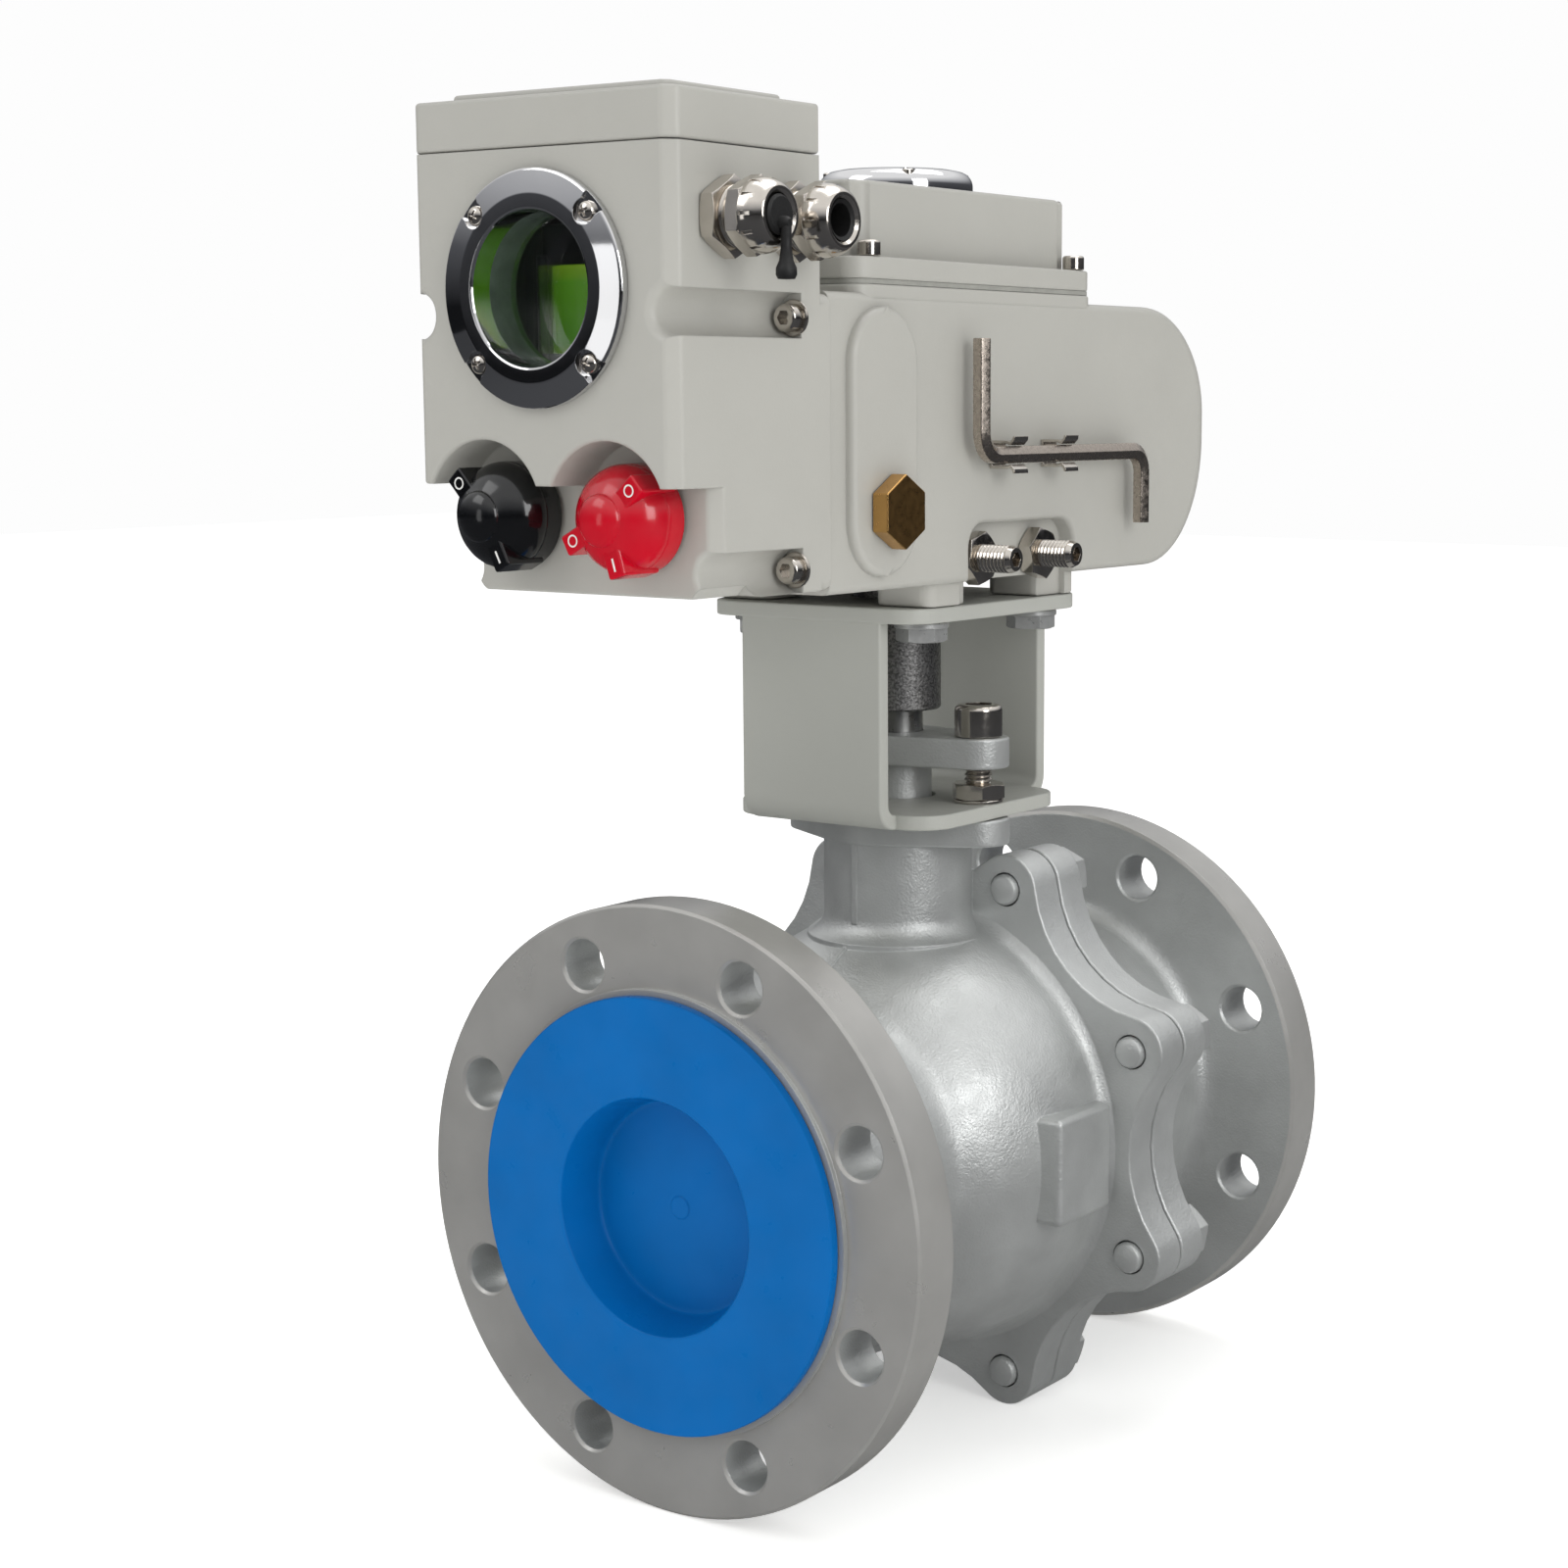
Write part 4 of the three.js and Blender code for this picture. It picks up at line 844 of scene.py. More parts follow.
class VALVE_OT_caps(bpy.types.Operator):
    """Moulds the two blue transport caps"""
    bl_idname = "valve.caps"
    bl_label = "Transport caps"

    def execute(self, context):
        for side, name, body in ((-1, "front", "front_cap"), (1, "rear", "rear_cap")):
            def s(station):
                return side * station
            profile = [(0, s(126)), (45, s(126)), (49.4, s(129)), (49.4, s(142.3)), (76.2, s(142.3)),
                       (76.6, s(142.8)), (76.6, s(145.2)), (76.3, s(145.8)), (75.6, s(146.0)),
                       (60, s(145.85)), (43, s(146.0)), (42.1, s(145.9)), (41.5, s(145.3)),
                       (38.6, s(131)), (37.6, s(129.6)), (36, s(129.2)), (30, s(129.6)), (15, s(130.4)),
                       (4.2, s(130.7)), (3.8, s(131.1)), (0, s(131.2))]
            piece(f"transport_cap_{name}", spun("y", profile, (0, PIPE_Z), 144), FINISHES["blue"], body,
                  replaces=[f"port_cap_{name}"], crease=40)
        return {"FINISHED"}


class VALVE_OT_gland(bpy.types.Operator):
    """Makes the gland flange, its screws and the stem"""
    bl_idname = "valve.gland"
    bl_label = "Gland and stem"

    def execute(self, context):
        plate = softened(slab("z", oval(19, 11.4, 36.5), 249.8, 261), 0.9, angle=50)
        plate = combine(plate, rod("z", 12.8, 225.4, 251, steps=40))
        holes = [rod("z", 9.8, 220, 263, steps=40)] + [rod("z", 6.4, 248, 263, (s * 36.5, 0), 28) for s in SIDES]
        piece("gland_flange_casting", cut(plate, *holes), FINISHES["silver"], "valve",
              replaces=["gland_flange"])
        for s, name in ((-1, "left"), (1, "right")):
            at = (s * 36.5, 0)
            screw = merged(thread("z", 5.2, 225, 250, 1.75, at), rod("z", 5.2, 249.9, 262, at),
                           socket_head("z", 8.9, 11.9, 261.2, at, 9.5), rod("z", 9.4, 236.9, 238.0, at, 36, 0.2),
                           hex_head("z", 18, 238.1, 243.8, at, 12, both=True))
            piece(f"gland_screw_and_nut_{name}", screw, FINISHES["nickel"], "valve",
                  replaces=[f"gland_screw_{name}"])
        tang = block((-9.2, 9.2), (-6, 6), (171.9, 183))
        stem = combine(rod("z", 9.5, 182.2, 291, steps=48, chamfer=0.8), rod("z", 12.6, 184, 189, steps=48), tang,
                       overlapping=True)
        piece("stem", stem, FINISHES["steel"], "drive_train", replaces=["valve_stem"])
        return {"FINISHED"}


# ------------------------------------------------------------------ bracket
BOLT_PLACES = [(-36, -36), (36, -36), (-36, 36), (36, 36)]


class VALVE_OT_bracket(bpy.types.Operator):
    """Bends the bracket and welds its top plate on"""
    bl_idname = "valve.bracket"
    bl_label = "Bracket"

    def execute(self, context):
        low, high, t = 231.3, 306.0, 5.5
        web_y, bend, inner_bend = 54.6, 9.5, 4.0
        outside = arc((bend - web_y, low + bend), bend, 180, 270, 8) + arc((web_y - bend, low + bend), bend, 270, 360, 8)
        inside = arc((web_y - t - inner_bend, low + t + inner_bend), inner_bend, 0, -90, 6)
        inside += arc((t + inner_bend - web_y, low + t + inner_bend), inner_bend, -90, -180, 6)
        channel = ([(-web_y, high + 1)] + outside + [(web_y, high + 1), (web_y - t, high + 1)] + inside
                   + [(t - web_y, high + 1)])
        sheet = softened(slab("x", channel, -31, 31), 0.9, angle=50)
        ears = softened(slab("z", rounded((-46, 46), (-45, 45), 14, 8), low + 0.04, low + t - 0.04), 0.7, angle=50)
        plate = softened(slab("z", rounded((-48, 48), (-55.2, 55.2), 12, 8), high, high + t), 0.7, angle=50)
        holes = [rod("z", 14.3, low - 2, low + t + 2, steps=40), rod("z", 17.3, high - 2, high + t + 2, steps=40)]
        holes += [rod("z", 6, low - 2, low + t + 2, (s * 36.5, 0), 28) for s in SIDES]
        holes += [rod("z", 5.3, high - 2, high + t + 2, at, 28) for at in BOLT_PLACES]
        welds = [rod("x", 1.9, -29, 29, (s * (web_y - t), high - 0.2), 12) for s in SIDES]
        whole = cut(combine(combine(sheet, ears), plate), *holes)
        piece("bent_bracket", whole, FINISHES["bracket"], "valve", replaces=["bracket"])
        piece("bracket_weld_beads", merged(*[self.bead(weld) for weld in welds]), FINISHES["bracket"], "valve")
        for i, at in enumerate(BOLT_PLACES):
            bolt = merged(rod("z", 5, 305.5, 324, at), hex_head("z", 16, 303.6, 298.6, at, 10 + 25 * i),
                          rod("z", 9.8, 303.6, 305.6, at, 40, 0.3))
            piece(f"plate_bolt_and_washer_{i + 1}", bolt, FINISHES["zinc"], "valve",
                  replaces=[f"plate_bolt_{i + 1}"])
        collar = [(9.9, 269.5), (15.6, 269.5), (16.3, 270.2), (16.3, 315.3), (15.6, 316), (0, 316), (0, 291.4), (9.9, 291.4)]
        drive = combine(spun("z", collar, steps=64), block((-9.7, 9.7), (-9.7, 9.7), (315, 338)))
        piece("blasted_coupling", drive, FINISHES["aluminium"], "drive_train", replaces=["drive_coupling"])
        return {"FINISHED"}

    @staticmethod
    def bead(weld):
        """A weld's ripples, as a bead whose section swells along its run."""
        bmesh.ops.subdivide_edges(weld, edges=[e for e in weld.edges if e.calc_length() > 20], cuts=40)
        for vert in weld.verts:
            middle_y = 49.1 if vert.co.y > 0 else -49.1
            swell = 1 + 0.12 * sin(vert.co.x * 2.2)
            vert.co.y = middle_y + (vert.co.y - middle_y) * swell
        return weld


# ------------------------------------------------------------------ actuator
def housing_outline(trim=0.0, rear_trim=0.0, front_trim=0.0):
    """The gear housing from the side, in (y, z): square in front, drum-shaped behind."""
    low, top, front, rear = 320 + trim, 419 - trim, -113.3 + front_trim, 147 - rear_trim
    turns = [radians(90 * i / 20) for i in range(21)]
    under = [(95 + (rear - 95) * sin(a), 368 - (368 - low) * cos(a)) for a in turns]
    over = [(92 + (rear - 92) * cos(a), 378 + (top - 378) * sin(a)) for a in turns]
    return [(front, low)] + under + over + [(front, top)]


def housing_skin(half, edge, drum_edge):
    """The housing with soft edges: slight along its flat sides, wide round the drum."""
    def round_off(radius, x):
        return radius - sqrt(radius ** 2 - max(0.0, x - half + radius) ** 2)
    slices = [half - drum_edge * (1 - sin(radians(a))) for a in (0, 12, 24, 36, 48)]
    slices += [half - edge * (1 - sin(radians(a))) for a in (0, 20, 40, 60, 76, 90)]
    slices = sorted(slices)
    rings = [[put("x", x, y, z) for y, z in housing_outline(round_off(edge, abs(x)), round_off(drum_edge, abs(x)))]
             for x in [-x for x in reversed(slices)] + slices]
    return lofted(rings)


def lug_block(at):
    x, y = at
    return softened(slab("z", rounded((x - 12.5, x + 12.5), (y - 12.5, y + 12.5), 5, 6), 311.8, 322), 1.0, angle=60)


class VALVE_OT_housing(bpy.types.Operator):
    """Casts the gear housing with its boss, lugs and stop pocket"""
    bl_idname = "valve.housing"
    bl_label = "Gear housing"

    def execute(self, context):
        half = context.scene.actuator_sizes.half_width
        shell = cut(housing_skin(half, 3.0, 15.0), slab("x", housing_outline(6, 8, 6), 6 - half, half - 6))
        boss = slab("x", rounded((-104, -66), (325, 414.6), 19, 10), 48, 56.5)
        boss = softened(boss, 2.4, angle=60, segments=5, where=lambda e: min(v.co.x for v in e.verts) > 56)
        rim = softened(slab("z", rounded((-half, half), (-95, 54), 8, 6), 417, 422), 0.9, angle=60)
        pocket_wall = block((40, 52), (-35, 45), (321, 345.4))
        for part in [boss, rim, pocket_wall] + [lug_block(at) for at in BOLT_PLACES]:
            shell = combine(shell, part)
        pocket = flared("x", lambda g: rounded((-30 - g, 40 + g), (300, 340.4 + g), 9 + g, 8), 46, half, 2.2)
        shell = cut(shell, pocket, block((-42, 42), (-84, 42), (410, 424)), overlapping=True)
        holes = [rod("z", 17.2, 309, 328, steps=48), rod("x", 8.3, 44, 58, (-83.5, 346.8), 36),
                 rod("y", 12, -116, -104, (0, 370), 36)]
        holes += [rod("x", 5.3, 10.6, 50, (s * 20.2, 328), 28) for s in SIDES]
        holes += [rod("z", 5.3, 310, 324.6, at, 28) for at in BOLT_PLACES]
        holes += [rod("z", 2.3, 414, 424, (sx * 49, sy), 20) for sx in SIDES for sy in (-85, 44)]
        piece("gear_housing_casting", cut(shell, *holes), FINISHES["enamel"], "valve",
              replaces=["gear_housing"])
        return {"FINISHED"}


class VALVE_OT_cover(bpy.types.Operator):
    """Makes the top cover, its screws and the position indicator"""
    bl_idname = "valve.cover"
    bl_label = "Cover and indicator"

    def execute(self, context):
        places = [(-49, -85), (49, -85), (-49, 44), (49, 44)]
        plate = softened(slab("z", rounded((-53, 53), (-95, 54), 9, 6), 423.6, 431), 0.8, angle=60)
        hood = slab("z", rounded((-45.5, 45.5), (-88, 47), 6, 6), 430, 456.5)
        hood = cut(hood, *[rod("z", 6.6, 428, 460, at, 36) for at in places])
        hood = softened(hood, 1.5, angle=50, where=lambda e: min(v.co.z for v in e.verts) > 431)
        cover = combine(plate, hood)
        cover = cut(cover, block((-41, 41), (-80, 39), (420, 452.5)), rod("z", 21, 450, 460, steps=64),
                    *[rod("z", 2.3, 420, 440, at, 20) for at in places], overlapping=True)
        piece("top_cover_casting", cover, FINISHES["enamel"], "valve", replaces=["top_cover"])
        seal = cut(slab("z", rounded((-52.6, 52.6), (-94.6, 53.6), 8, 6), 422.05, 423.55),
                   block((-43, 43), (-84, 43), (420, 425)), *[rod("z", 2.3, 420, 425, at, 20) for at in places])
        piece("silicone_cover_seal", seal, FINISHES["gasket"], "valve", replaces=["cover_gasket"])
        for i, at in enumerate(places):
            screw = merged(rod("z", 2, 415, 431.4, at, 20), socket_head("z", 4.0, 5.2, 431.2, at, 3.4))
            piece(f"cover_cap_screw_{i + 1}", screw, FINISHES["nickel"], "valve",
                  replaces=[f"cover_screw_{i + 1}"])
        ring = [(20, 456.8), (28, 456.8), (28, 459)] + arc((22.8, 460.6), 5.2, 0, 82, 7) + [(21.2, 466.2),
                (20.4, 465.6), (20, 464.6)]
        bezel = spun("z", ring, steps=96)
        heads = [(24.6 * cos(radians(a)), 24.6 * sin(radians(a))) for a in (45, 135, 225, 315)]
        bezel = cut(bezel, *[rod("z", 2.6, 463.2, 470, at, 24) for at in heads])
        piece("indicator_ring", bezel, FINISHES["chrome"], "valve", replaces=["indicator_bezel"])
        screws = [cut(rod("z", 2.3, 463.0, 465.3, at, 24, 0.4),
                      block((at[0] - 1.6, at[0] + 1.6), (at[1] - 0.3, at[1] + 0.3), (464.3, 467)),
                      block((at[0] - 0.3, at[0] + 0.3), (at[1] - 1.6, at[1] + 1.6), (464.3, 467)),
                      overlapping=True) for at in heads]
        piece("indicator_ring_screws", merged(*screws), FINISHES["nickel"], "valve")
        dome = [(0, 460.6), (19.6, 458), (19.7, 462.6), (16, 464.6), (10, 465.8), (5, 466.2), (0, 466.3)]
        piece("indicator_dome", spun("z", dome, steps=64), FINISHES["clear"], "valve",
              replaces=["indicator_lens"])
        disc = rod("z", 17.5, 453.4, 455.2, steps=64, chamfer=0.2)
        pointer = slab("z", [(-14, -2.4), (9, -2.4), (9, -5), (15, 0), (9, 5), (9, 2.4), (-14, 2.4)], 455, 456.3)
        piece("indicator_dial_and_arrow", combine(disc, pointer), FINISHES["red"], "drive_train",
              replaces=["indicator_dial"])
        return {"FINISHED"}


class VALVE_OT_side_fittings(bpy.types.Operator):
    """Makes the brass plug, the hand crank in its clips and the two stop screws"""
    bl_idname = "valve.side_fittings"
    bl_label = "Plug, crank and stop screws"

    def execute(self, context):
        at = (-83.5, 346.8)
        head = softened(slab("x", hexagon(22, at, 90), 56.9, 63.2), 0.5, angle=50)
        plug = merged(thread("x", 8, 47.6, 57.2, 1.5, at), head)
        piece("brass_hex_plug", plug, FINISHES["brass"], "plug", replaces=["brass_plug"])
        self.crank()
        for i, y in enumerate((-14, 20)):
            self.clip(i + 1, y)
        for i, s in enumerate(SIDES):
            place = (s * 20.2, 328)
            bar = cut(thread("x", 5, 10.6, 65.9, 1.5, place), slab("x", hexagon(5, place, 0), 61, 68))
            nut = hex_head("x", 17, 46.4, 52.2, place, 90 + 14 * s, both=True)
            piece(f"stop_screw_and_nut_{i + 1}", merged(bar, nut), FINISHES["nickel"], "valve",
                  replaces=[f"limit_screw_{i + 1}"])
        return {"FINISHED"}

    def crank(self):
        """Sweeps the hexagon bar through its two bends."""
        y0, y1, z, bend = -33.5, 76.5, 364.6, 8.0
        route = [(y0, 405), (y0, z + bend)] + arc((y0 + bend, z + bend), bend, 180, 270, 8)[1:]
        route += arc((y1 - bend, z - bend), bend, 90, 0, 8) + [(y1, 337.4)]
        across = 6 / sqrt(3)
        side = Vector((1, 0, 0))
        rings = []
        for i, (y, h) in enumerate(route):
            before, after = route[max(i - 1, 0)], route[min(i + 1, len(route) - 1)]
            up = Vector((0, after[0] - before[0], after[1] - before[1])).normalized().cross(side)
            turns = [radians(60 * k) for k in range(6)]
            rings.append([Vector((60, y, h)) + across * (cos(a) * side + sin(a) * up) for a in turns])
        bar = softened(lofted(rings), 0.35, angle=50, segments=2)
        piece("hand_crank_bar", bar, FINISHES["bar"], "crank", replaces=["hand_crank"])

    def clip(self, number, y):
        """A spring clip: two arms grip the bar and their lips flare out past it."""
        z = 364.6
        outer = [(53.3, 5.0), (60.2, 5.0), (61.8, 4.5), (62.8, 5.6), (63.1, 6.6)]
        inner = [(64.0, 6.5), (63.8, 5.0), (62.2, 3.3), (60.2, 3.9), (54.4, 3.9)]
        half = outer + inner
        outline = [(x, z + h) for x, h in half] + [(x, z - h) for x, h in reversed(half)]
        clip = softened(slab("y", outline, y - 4.5, y + 4.5), 0.25, angle=50, segments=2)
        piece(f"spring_clip_{number}", clip, FINISHES["nickel"], "valve",
              replaces=[f"crank_clip_{number}"])


# ------------------------------------------------------------------ control box
def box_plan(front):
    c, x, rear = 4.0, 54.5, -119
    return [(-x + c, front), (x - c, front), (x, front + c), (x, rear), (-x, rear), (-x, front + c)]


def disc_outline(at, r, steps=64):
    """Points of a circle that can grow, for a flared cutter."""
    return lambda grown: arc(at, r + grown, 0, 360 - 360 / steps, steps - 1)


class VALVE_OT_control_box(bpy.types.Operator):
    """Casts the control box and its lid"""
    bl_idname = "valve.control_box"
    bl_label = "Control box"

    def execute(self, context):
        edge = context.scene.actuator_sizes.edge
        front, recessed, channel_end = -193, -173.2, -129.5
        upper = softened(slab("z", box_plan(front), 357, 461.2), edge, angle=30,
                         where=lambda e: min(v.co.z for v in e.verts) < 461)
        lower = softened(slab("z", box_plan(recessed), 322, 372), edge, angle=30)
        box = combine(upper, lower)
        rim = softened(slab("y", rounded((-54.5, 54.5), (322, 418), 4, 4), -121, -113.6), 0.7, angle=50)
        box = combine(box, rim)
        arches = [flared("y", disc_outline((s * 25.5, 347), 24.3, 96), recessed - 0.05, front, 1.3) for s in SIDES]
        channels = [flared("y", disc_outline((s * 53, 410.5), 7.3, 40), channel_end, front, 3.0) for s in SIDES]
        channels += [flared("y", disc_outline((s * 53, 329.4), 7.3, 40), channel_end, recessed, 2.0) for s in SIDES]
        low_corners = [slab("y", [(s * 55.5, 321), (s * 55.5, 334), (s * 42.5, 321)], -180, -150) for s in SIDES]
        hollow = [block((-42, 42), (-188, -124), (374.3, 470)), block((-42, 42), (-168.2, -124), (330, 375.3))]
        for tools in (arches, channels, low_corners, [combine(*hollow)]):
            box = cut(box, *tools)
        holes = [rod("y", 29.9, -200, -186, (0, 418), 96), rod("y", 12, -126, -110, (0, 370), 36)]
        holes += [rod("y", 4.3, -175, -165, (s * 25.5, 347), 32) for s in SIDES]
        holes += [rod("x", 10.2, 40, 56, (y, 439.3), 40) for y in (-169.5, -137.2)]
        box = cut(box, *holes)
        # the faces inside the box take the near-black painted shade
        piece("control_box_casting", box, [FINISHES["enamel"], FINISHES["dark"]], "valve",
              replaces=["control_box"], pick=self.inner)
        self.lid(edge)
        self.clamp_screws(channel_end)
        return {"FINISHED"}

    # picks the faces inside the box, which are coloured near black as painted shade
    @staticmethod
    def inner(face):
        place = face.calc_center_median()
        front = -188.1 if place.z > 374.2 else -168.3
        return 1 if abs(place.x) < 42.1 and front < place.y < -123.9 and place.z > 329.9 else 0

    def lid(self, edge):
        body = slab("z", box_plan(-193), 461.5, 477.3)
        body = softened(body, edge + 0.4, angle=30, segments=4)
        panel = slab("z", [(-45.5, -181), (-42.5, -184), (42.5, -184), (45.5, -181), (45.5, -128), (42.5, -125),
                           (-42.5, -125), (-45.5, -128)], 477, 480)
        panel = softened(panel, 1.6, angle=50, segments=3, where=lambda e: min(v.co.z for v in e.verts) > 479)
        lid = cut(combine(body, panel), block((-49, 49), (-187, -125), (450, 473.3)))
        piece("control_lid_casting", lid, FINISHES["enamel"], "valve", replaces=["control_lid"])

    def clamp_screws(self, channel_end):
        """Socket cap screws on washers at the end of each half-round channel."""
        heads = []
        for s in SIDES:
            for z in (409.8, 329.4):
                at = (s * 51.8, z)
                heads.append(rod("y", 5.9, channel_end - 1.2, channel_end - 0.1, at, 36, 0.3))
                heads.append(socket_head("y", 4.5, -4.6, channel_end - 1.3, at, 4.4))
        piece("box_clamp_screws", merged(*heads), FINISHES["nickel"], "valve")


class VALVE_OT_window(bpy.types.Operator):
    """Makes the window bezel, its screws, the window and the drum behind it"""
    bl_idname = "valve.window"
    bl_label = "Window and display"

    SCREW_TURNS = (45, 135, 225, 315)
    SCREW_CIRCLE = 32.4

    def execute(self, context):
        r = context.scene.actuator_sizes.bezel_r
        at = (0, 418)
        inner_r, land_r, front, seat = 24.0, 28.8, -197.4, -193.3
        ring = [(inner_r, -177), (29.6, -177), (29.6, seat), (r, seat), (r, -195.5), (r - 0.3, -195.9)]
        ring += [(r - 0.9, -196.2), (land_r + 0.6, front + 0.06), (land_r, front), (inner_r + 0.9, front)]
        ring += [(inner_r + 0.3, front + 0.25), (inner_r, front + 0.8), (inner_r, -189.5), (inner_r, -189.2)]
        bezel = spun("y", ring, at, 128)
        places = [(self.SCREW_CIRCLE * cos(radians(a)), 418 + self.SCREW_CIRCLE * sin(radians(a)))
                  for a in self.SCREW_TURNS]
        pockets = [self.turned_to(self.pocket(), turn, place) for turn, place in zip(self.SCREW_TURNS, places)]
        bezel = cut(bezel, *pockets)
        # the ring's inner wall takes a grey-green painted reflection of the drum in place of chrome
        piece("window_ring", bezel, [FINISHES["chrome"], FINISHES["sleeve"]], "valve", replaces=["window_bezel"],
              crease=22, pick=self.sleeve)
        screws = [self.turned_to(self.screw(), turn / 2, place) for turn, place in zip(self.SCREW_TURNS, places)]
        piece("window_ring_screws", merged(*screws), FINISHES["nickel"], "valve")
        piece("window_pane", rod("y", inner_r - 0.3, -180, -177.4, at, 96, 0.3), FINISHES["clear"], "valve",
              replaces=["window_glass"])
        self.display()
        return {"FINISHED"}

    @staticmethod
    def turned_to(bm, turn, place):
        """Turns a shape about Y and carries it to its place on the window's face."""
        bmesh.ops.rotate(bm, verts=bm.verts, cent=(0, 0, 0), matrix=Matrix.Rotation(-radians(turn), 3, "Y"))
        bmesh.ops.translate(bm, verts=bm.verts, vec=(place[0], 0, place[1]))
        return bm

    @staticmethod
    def sleeve(face):
        place = face.calc_center_median()
        return 1 if place.y > -189.3 and sqrt(place.x ** 2 + (place.z - 418) ** 2) < 26 else 0

    @staticmethod
    def pocket():
        """A round counterbore that opens outwards through flared lips."""
        floor, mouth = -194.9, -199
        bore = rod("y", 4.1, mouth, floor, (0, 0), 36)
        way_out = slab("y", [(1.5, -3.6), (4.2, -4.4), (7.5, -7.6), (7.5, 7.6), (4.2, 4.4), (1.5, 3.6)], mouth, floor)
        return combine(bore, way_out)

    @staticmethod
    def screw():
        """A domed cross-recess screw."""
        dome = spun("y", [(0, -194.8), (3.2, -194.8), (3.2, -195.6)]
                    + [(3.2 * cos(radians(a)), -195.6 - 1.9 * sin(radians(a))) for a in (20, 40, 60, 78)]
                    + [(0, -197.5)], (0, 0), 32)
        slots = combine(block((-0.35, 0.35), (-199, -196.7), (-1.8, 1.8)),
                        block((-1.8, 1.8), (-199, -196.65), (-0.35, 0.35)))
        return cut(dome, slots)

    @staticmethod
    def display():
        """A green drum in front of its board, set back in the dark of the box."""
        low, high = DRUM_Z
        half, depth, back = 20.0, 9.5, -162.5
        bow = [(half * cos(radians(a)), back - depth * sin(radians(a))) for a in range(0, 181, 6)]
        drum = softened(slab("z", bow, low, high), 0.5, angle=60)
        board = softened(block((-26, 26), (-162.4, -160), (396, 440)), 0.5, angle=60)
        pillars = [rod("z", 1.8, 396.5, 430, (s * 22.6, -166), 20, 0.3) for s in SIDES]
        # the board and its pillars take the same near-black painted shade
        piece("display_board", merged(board, *pillars), FINISHES["dark"], "valve",
              replaces=["display_module"])
        piece("green_display_drum", drum, FINISHES["display"], "valve")


class VALVE_OT_knobs(bpy.types.Operator):
    """Moulds the black and red selector knobs"""
    bl_idname = "valve.knobs"
    bl_label = "Knobs"

    def execute(self, context):
        for side, name, tabs in ((-1, "black", (133, 297)), (1, "red", (41, 208, 287))):
            self.knob(context.scene.actuator_sizes.knob_r, (side * 25.5, 347), name, tabs)
        return {"FINISHED"}

    def knob(self, r, at, name, tabs):
        """A round dome on a plain skirt, with a button nose and a flat-topped tab at each position."""
        back, shoulder, crown, tip, nose_r = -174.6, -182.0, -196.4, -198.5, 8.3
        tab_front = -193.6
        profile = [(0, back), (r - 0.5, back), (r, back - 0.5), (r, shoulder + 0.6), (r - 0.25, shoulder + 0.2)]
        profile += [(r * cos(radians(a)), shoulder - (shoulder - crown) * sin(radians(a)))
                    for a in (4, 10, 18, 26, 34, 42, 49, 55)]
        profile += [(nose_r + 0.5, -194.6), (nose_r, -195.0)]
        profile += [(nose_r * cos(radians(a)), -195.0 - (tip + 195.0) * -1 * sin(radians(a)))
                    for a in (12, 28, 44, 60, 76)] + [(0, tip)]
        knob = spun("y", profile, at, 96)
        for turn in tabs:
            tab = softened(block((7, r + 0.9), (tab_front, -176.6), (-3.4, 3.4)), 0.8, angle=60)
            knob = combine(knob, VALVE_OT_window.turned_to(tab, turn, at))
        knob = combine(knob, rod("y", 4, -175.4, -160, at, 32, 0.4))
        piece(f"{name}_selector_knob", knob, FINISHES[name], f"{name}_knob",
              replaces=[f"knob_{name}"], crease=36)
        marks = [VALVE_OT_window.turned_to(self.mark(tab_front, turn == tabs[-1]), turn, at) for turn in tabs]
        piece(f"{name}_knob_marks", merged(*marks), FINISHES["white"], f"{name}_knob")

    @staticmethod
    def mark(face, bar):
        """A printed ring or bar on a tab, a plain position mark."""
        far, near = face - 0.07, face + 0.03
        if bar:
            return block((12.2, 16.4), (far, near), (-0.35, 0.35))
        return spun("y", [(1.5, near), (2.0, near), (2.0, far), (1.5, far)], (14.2, 0), 32)


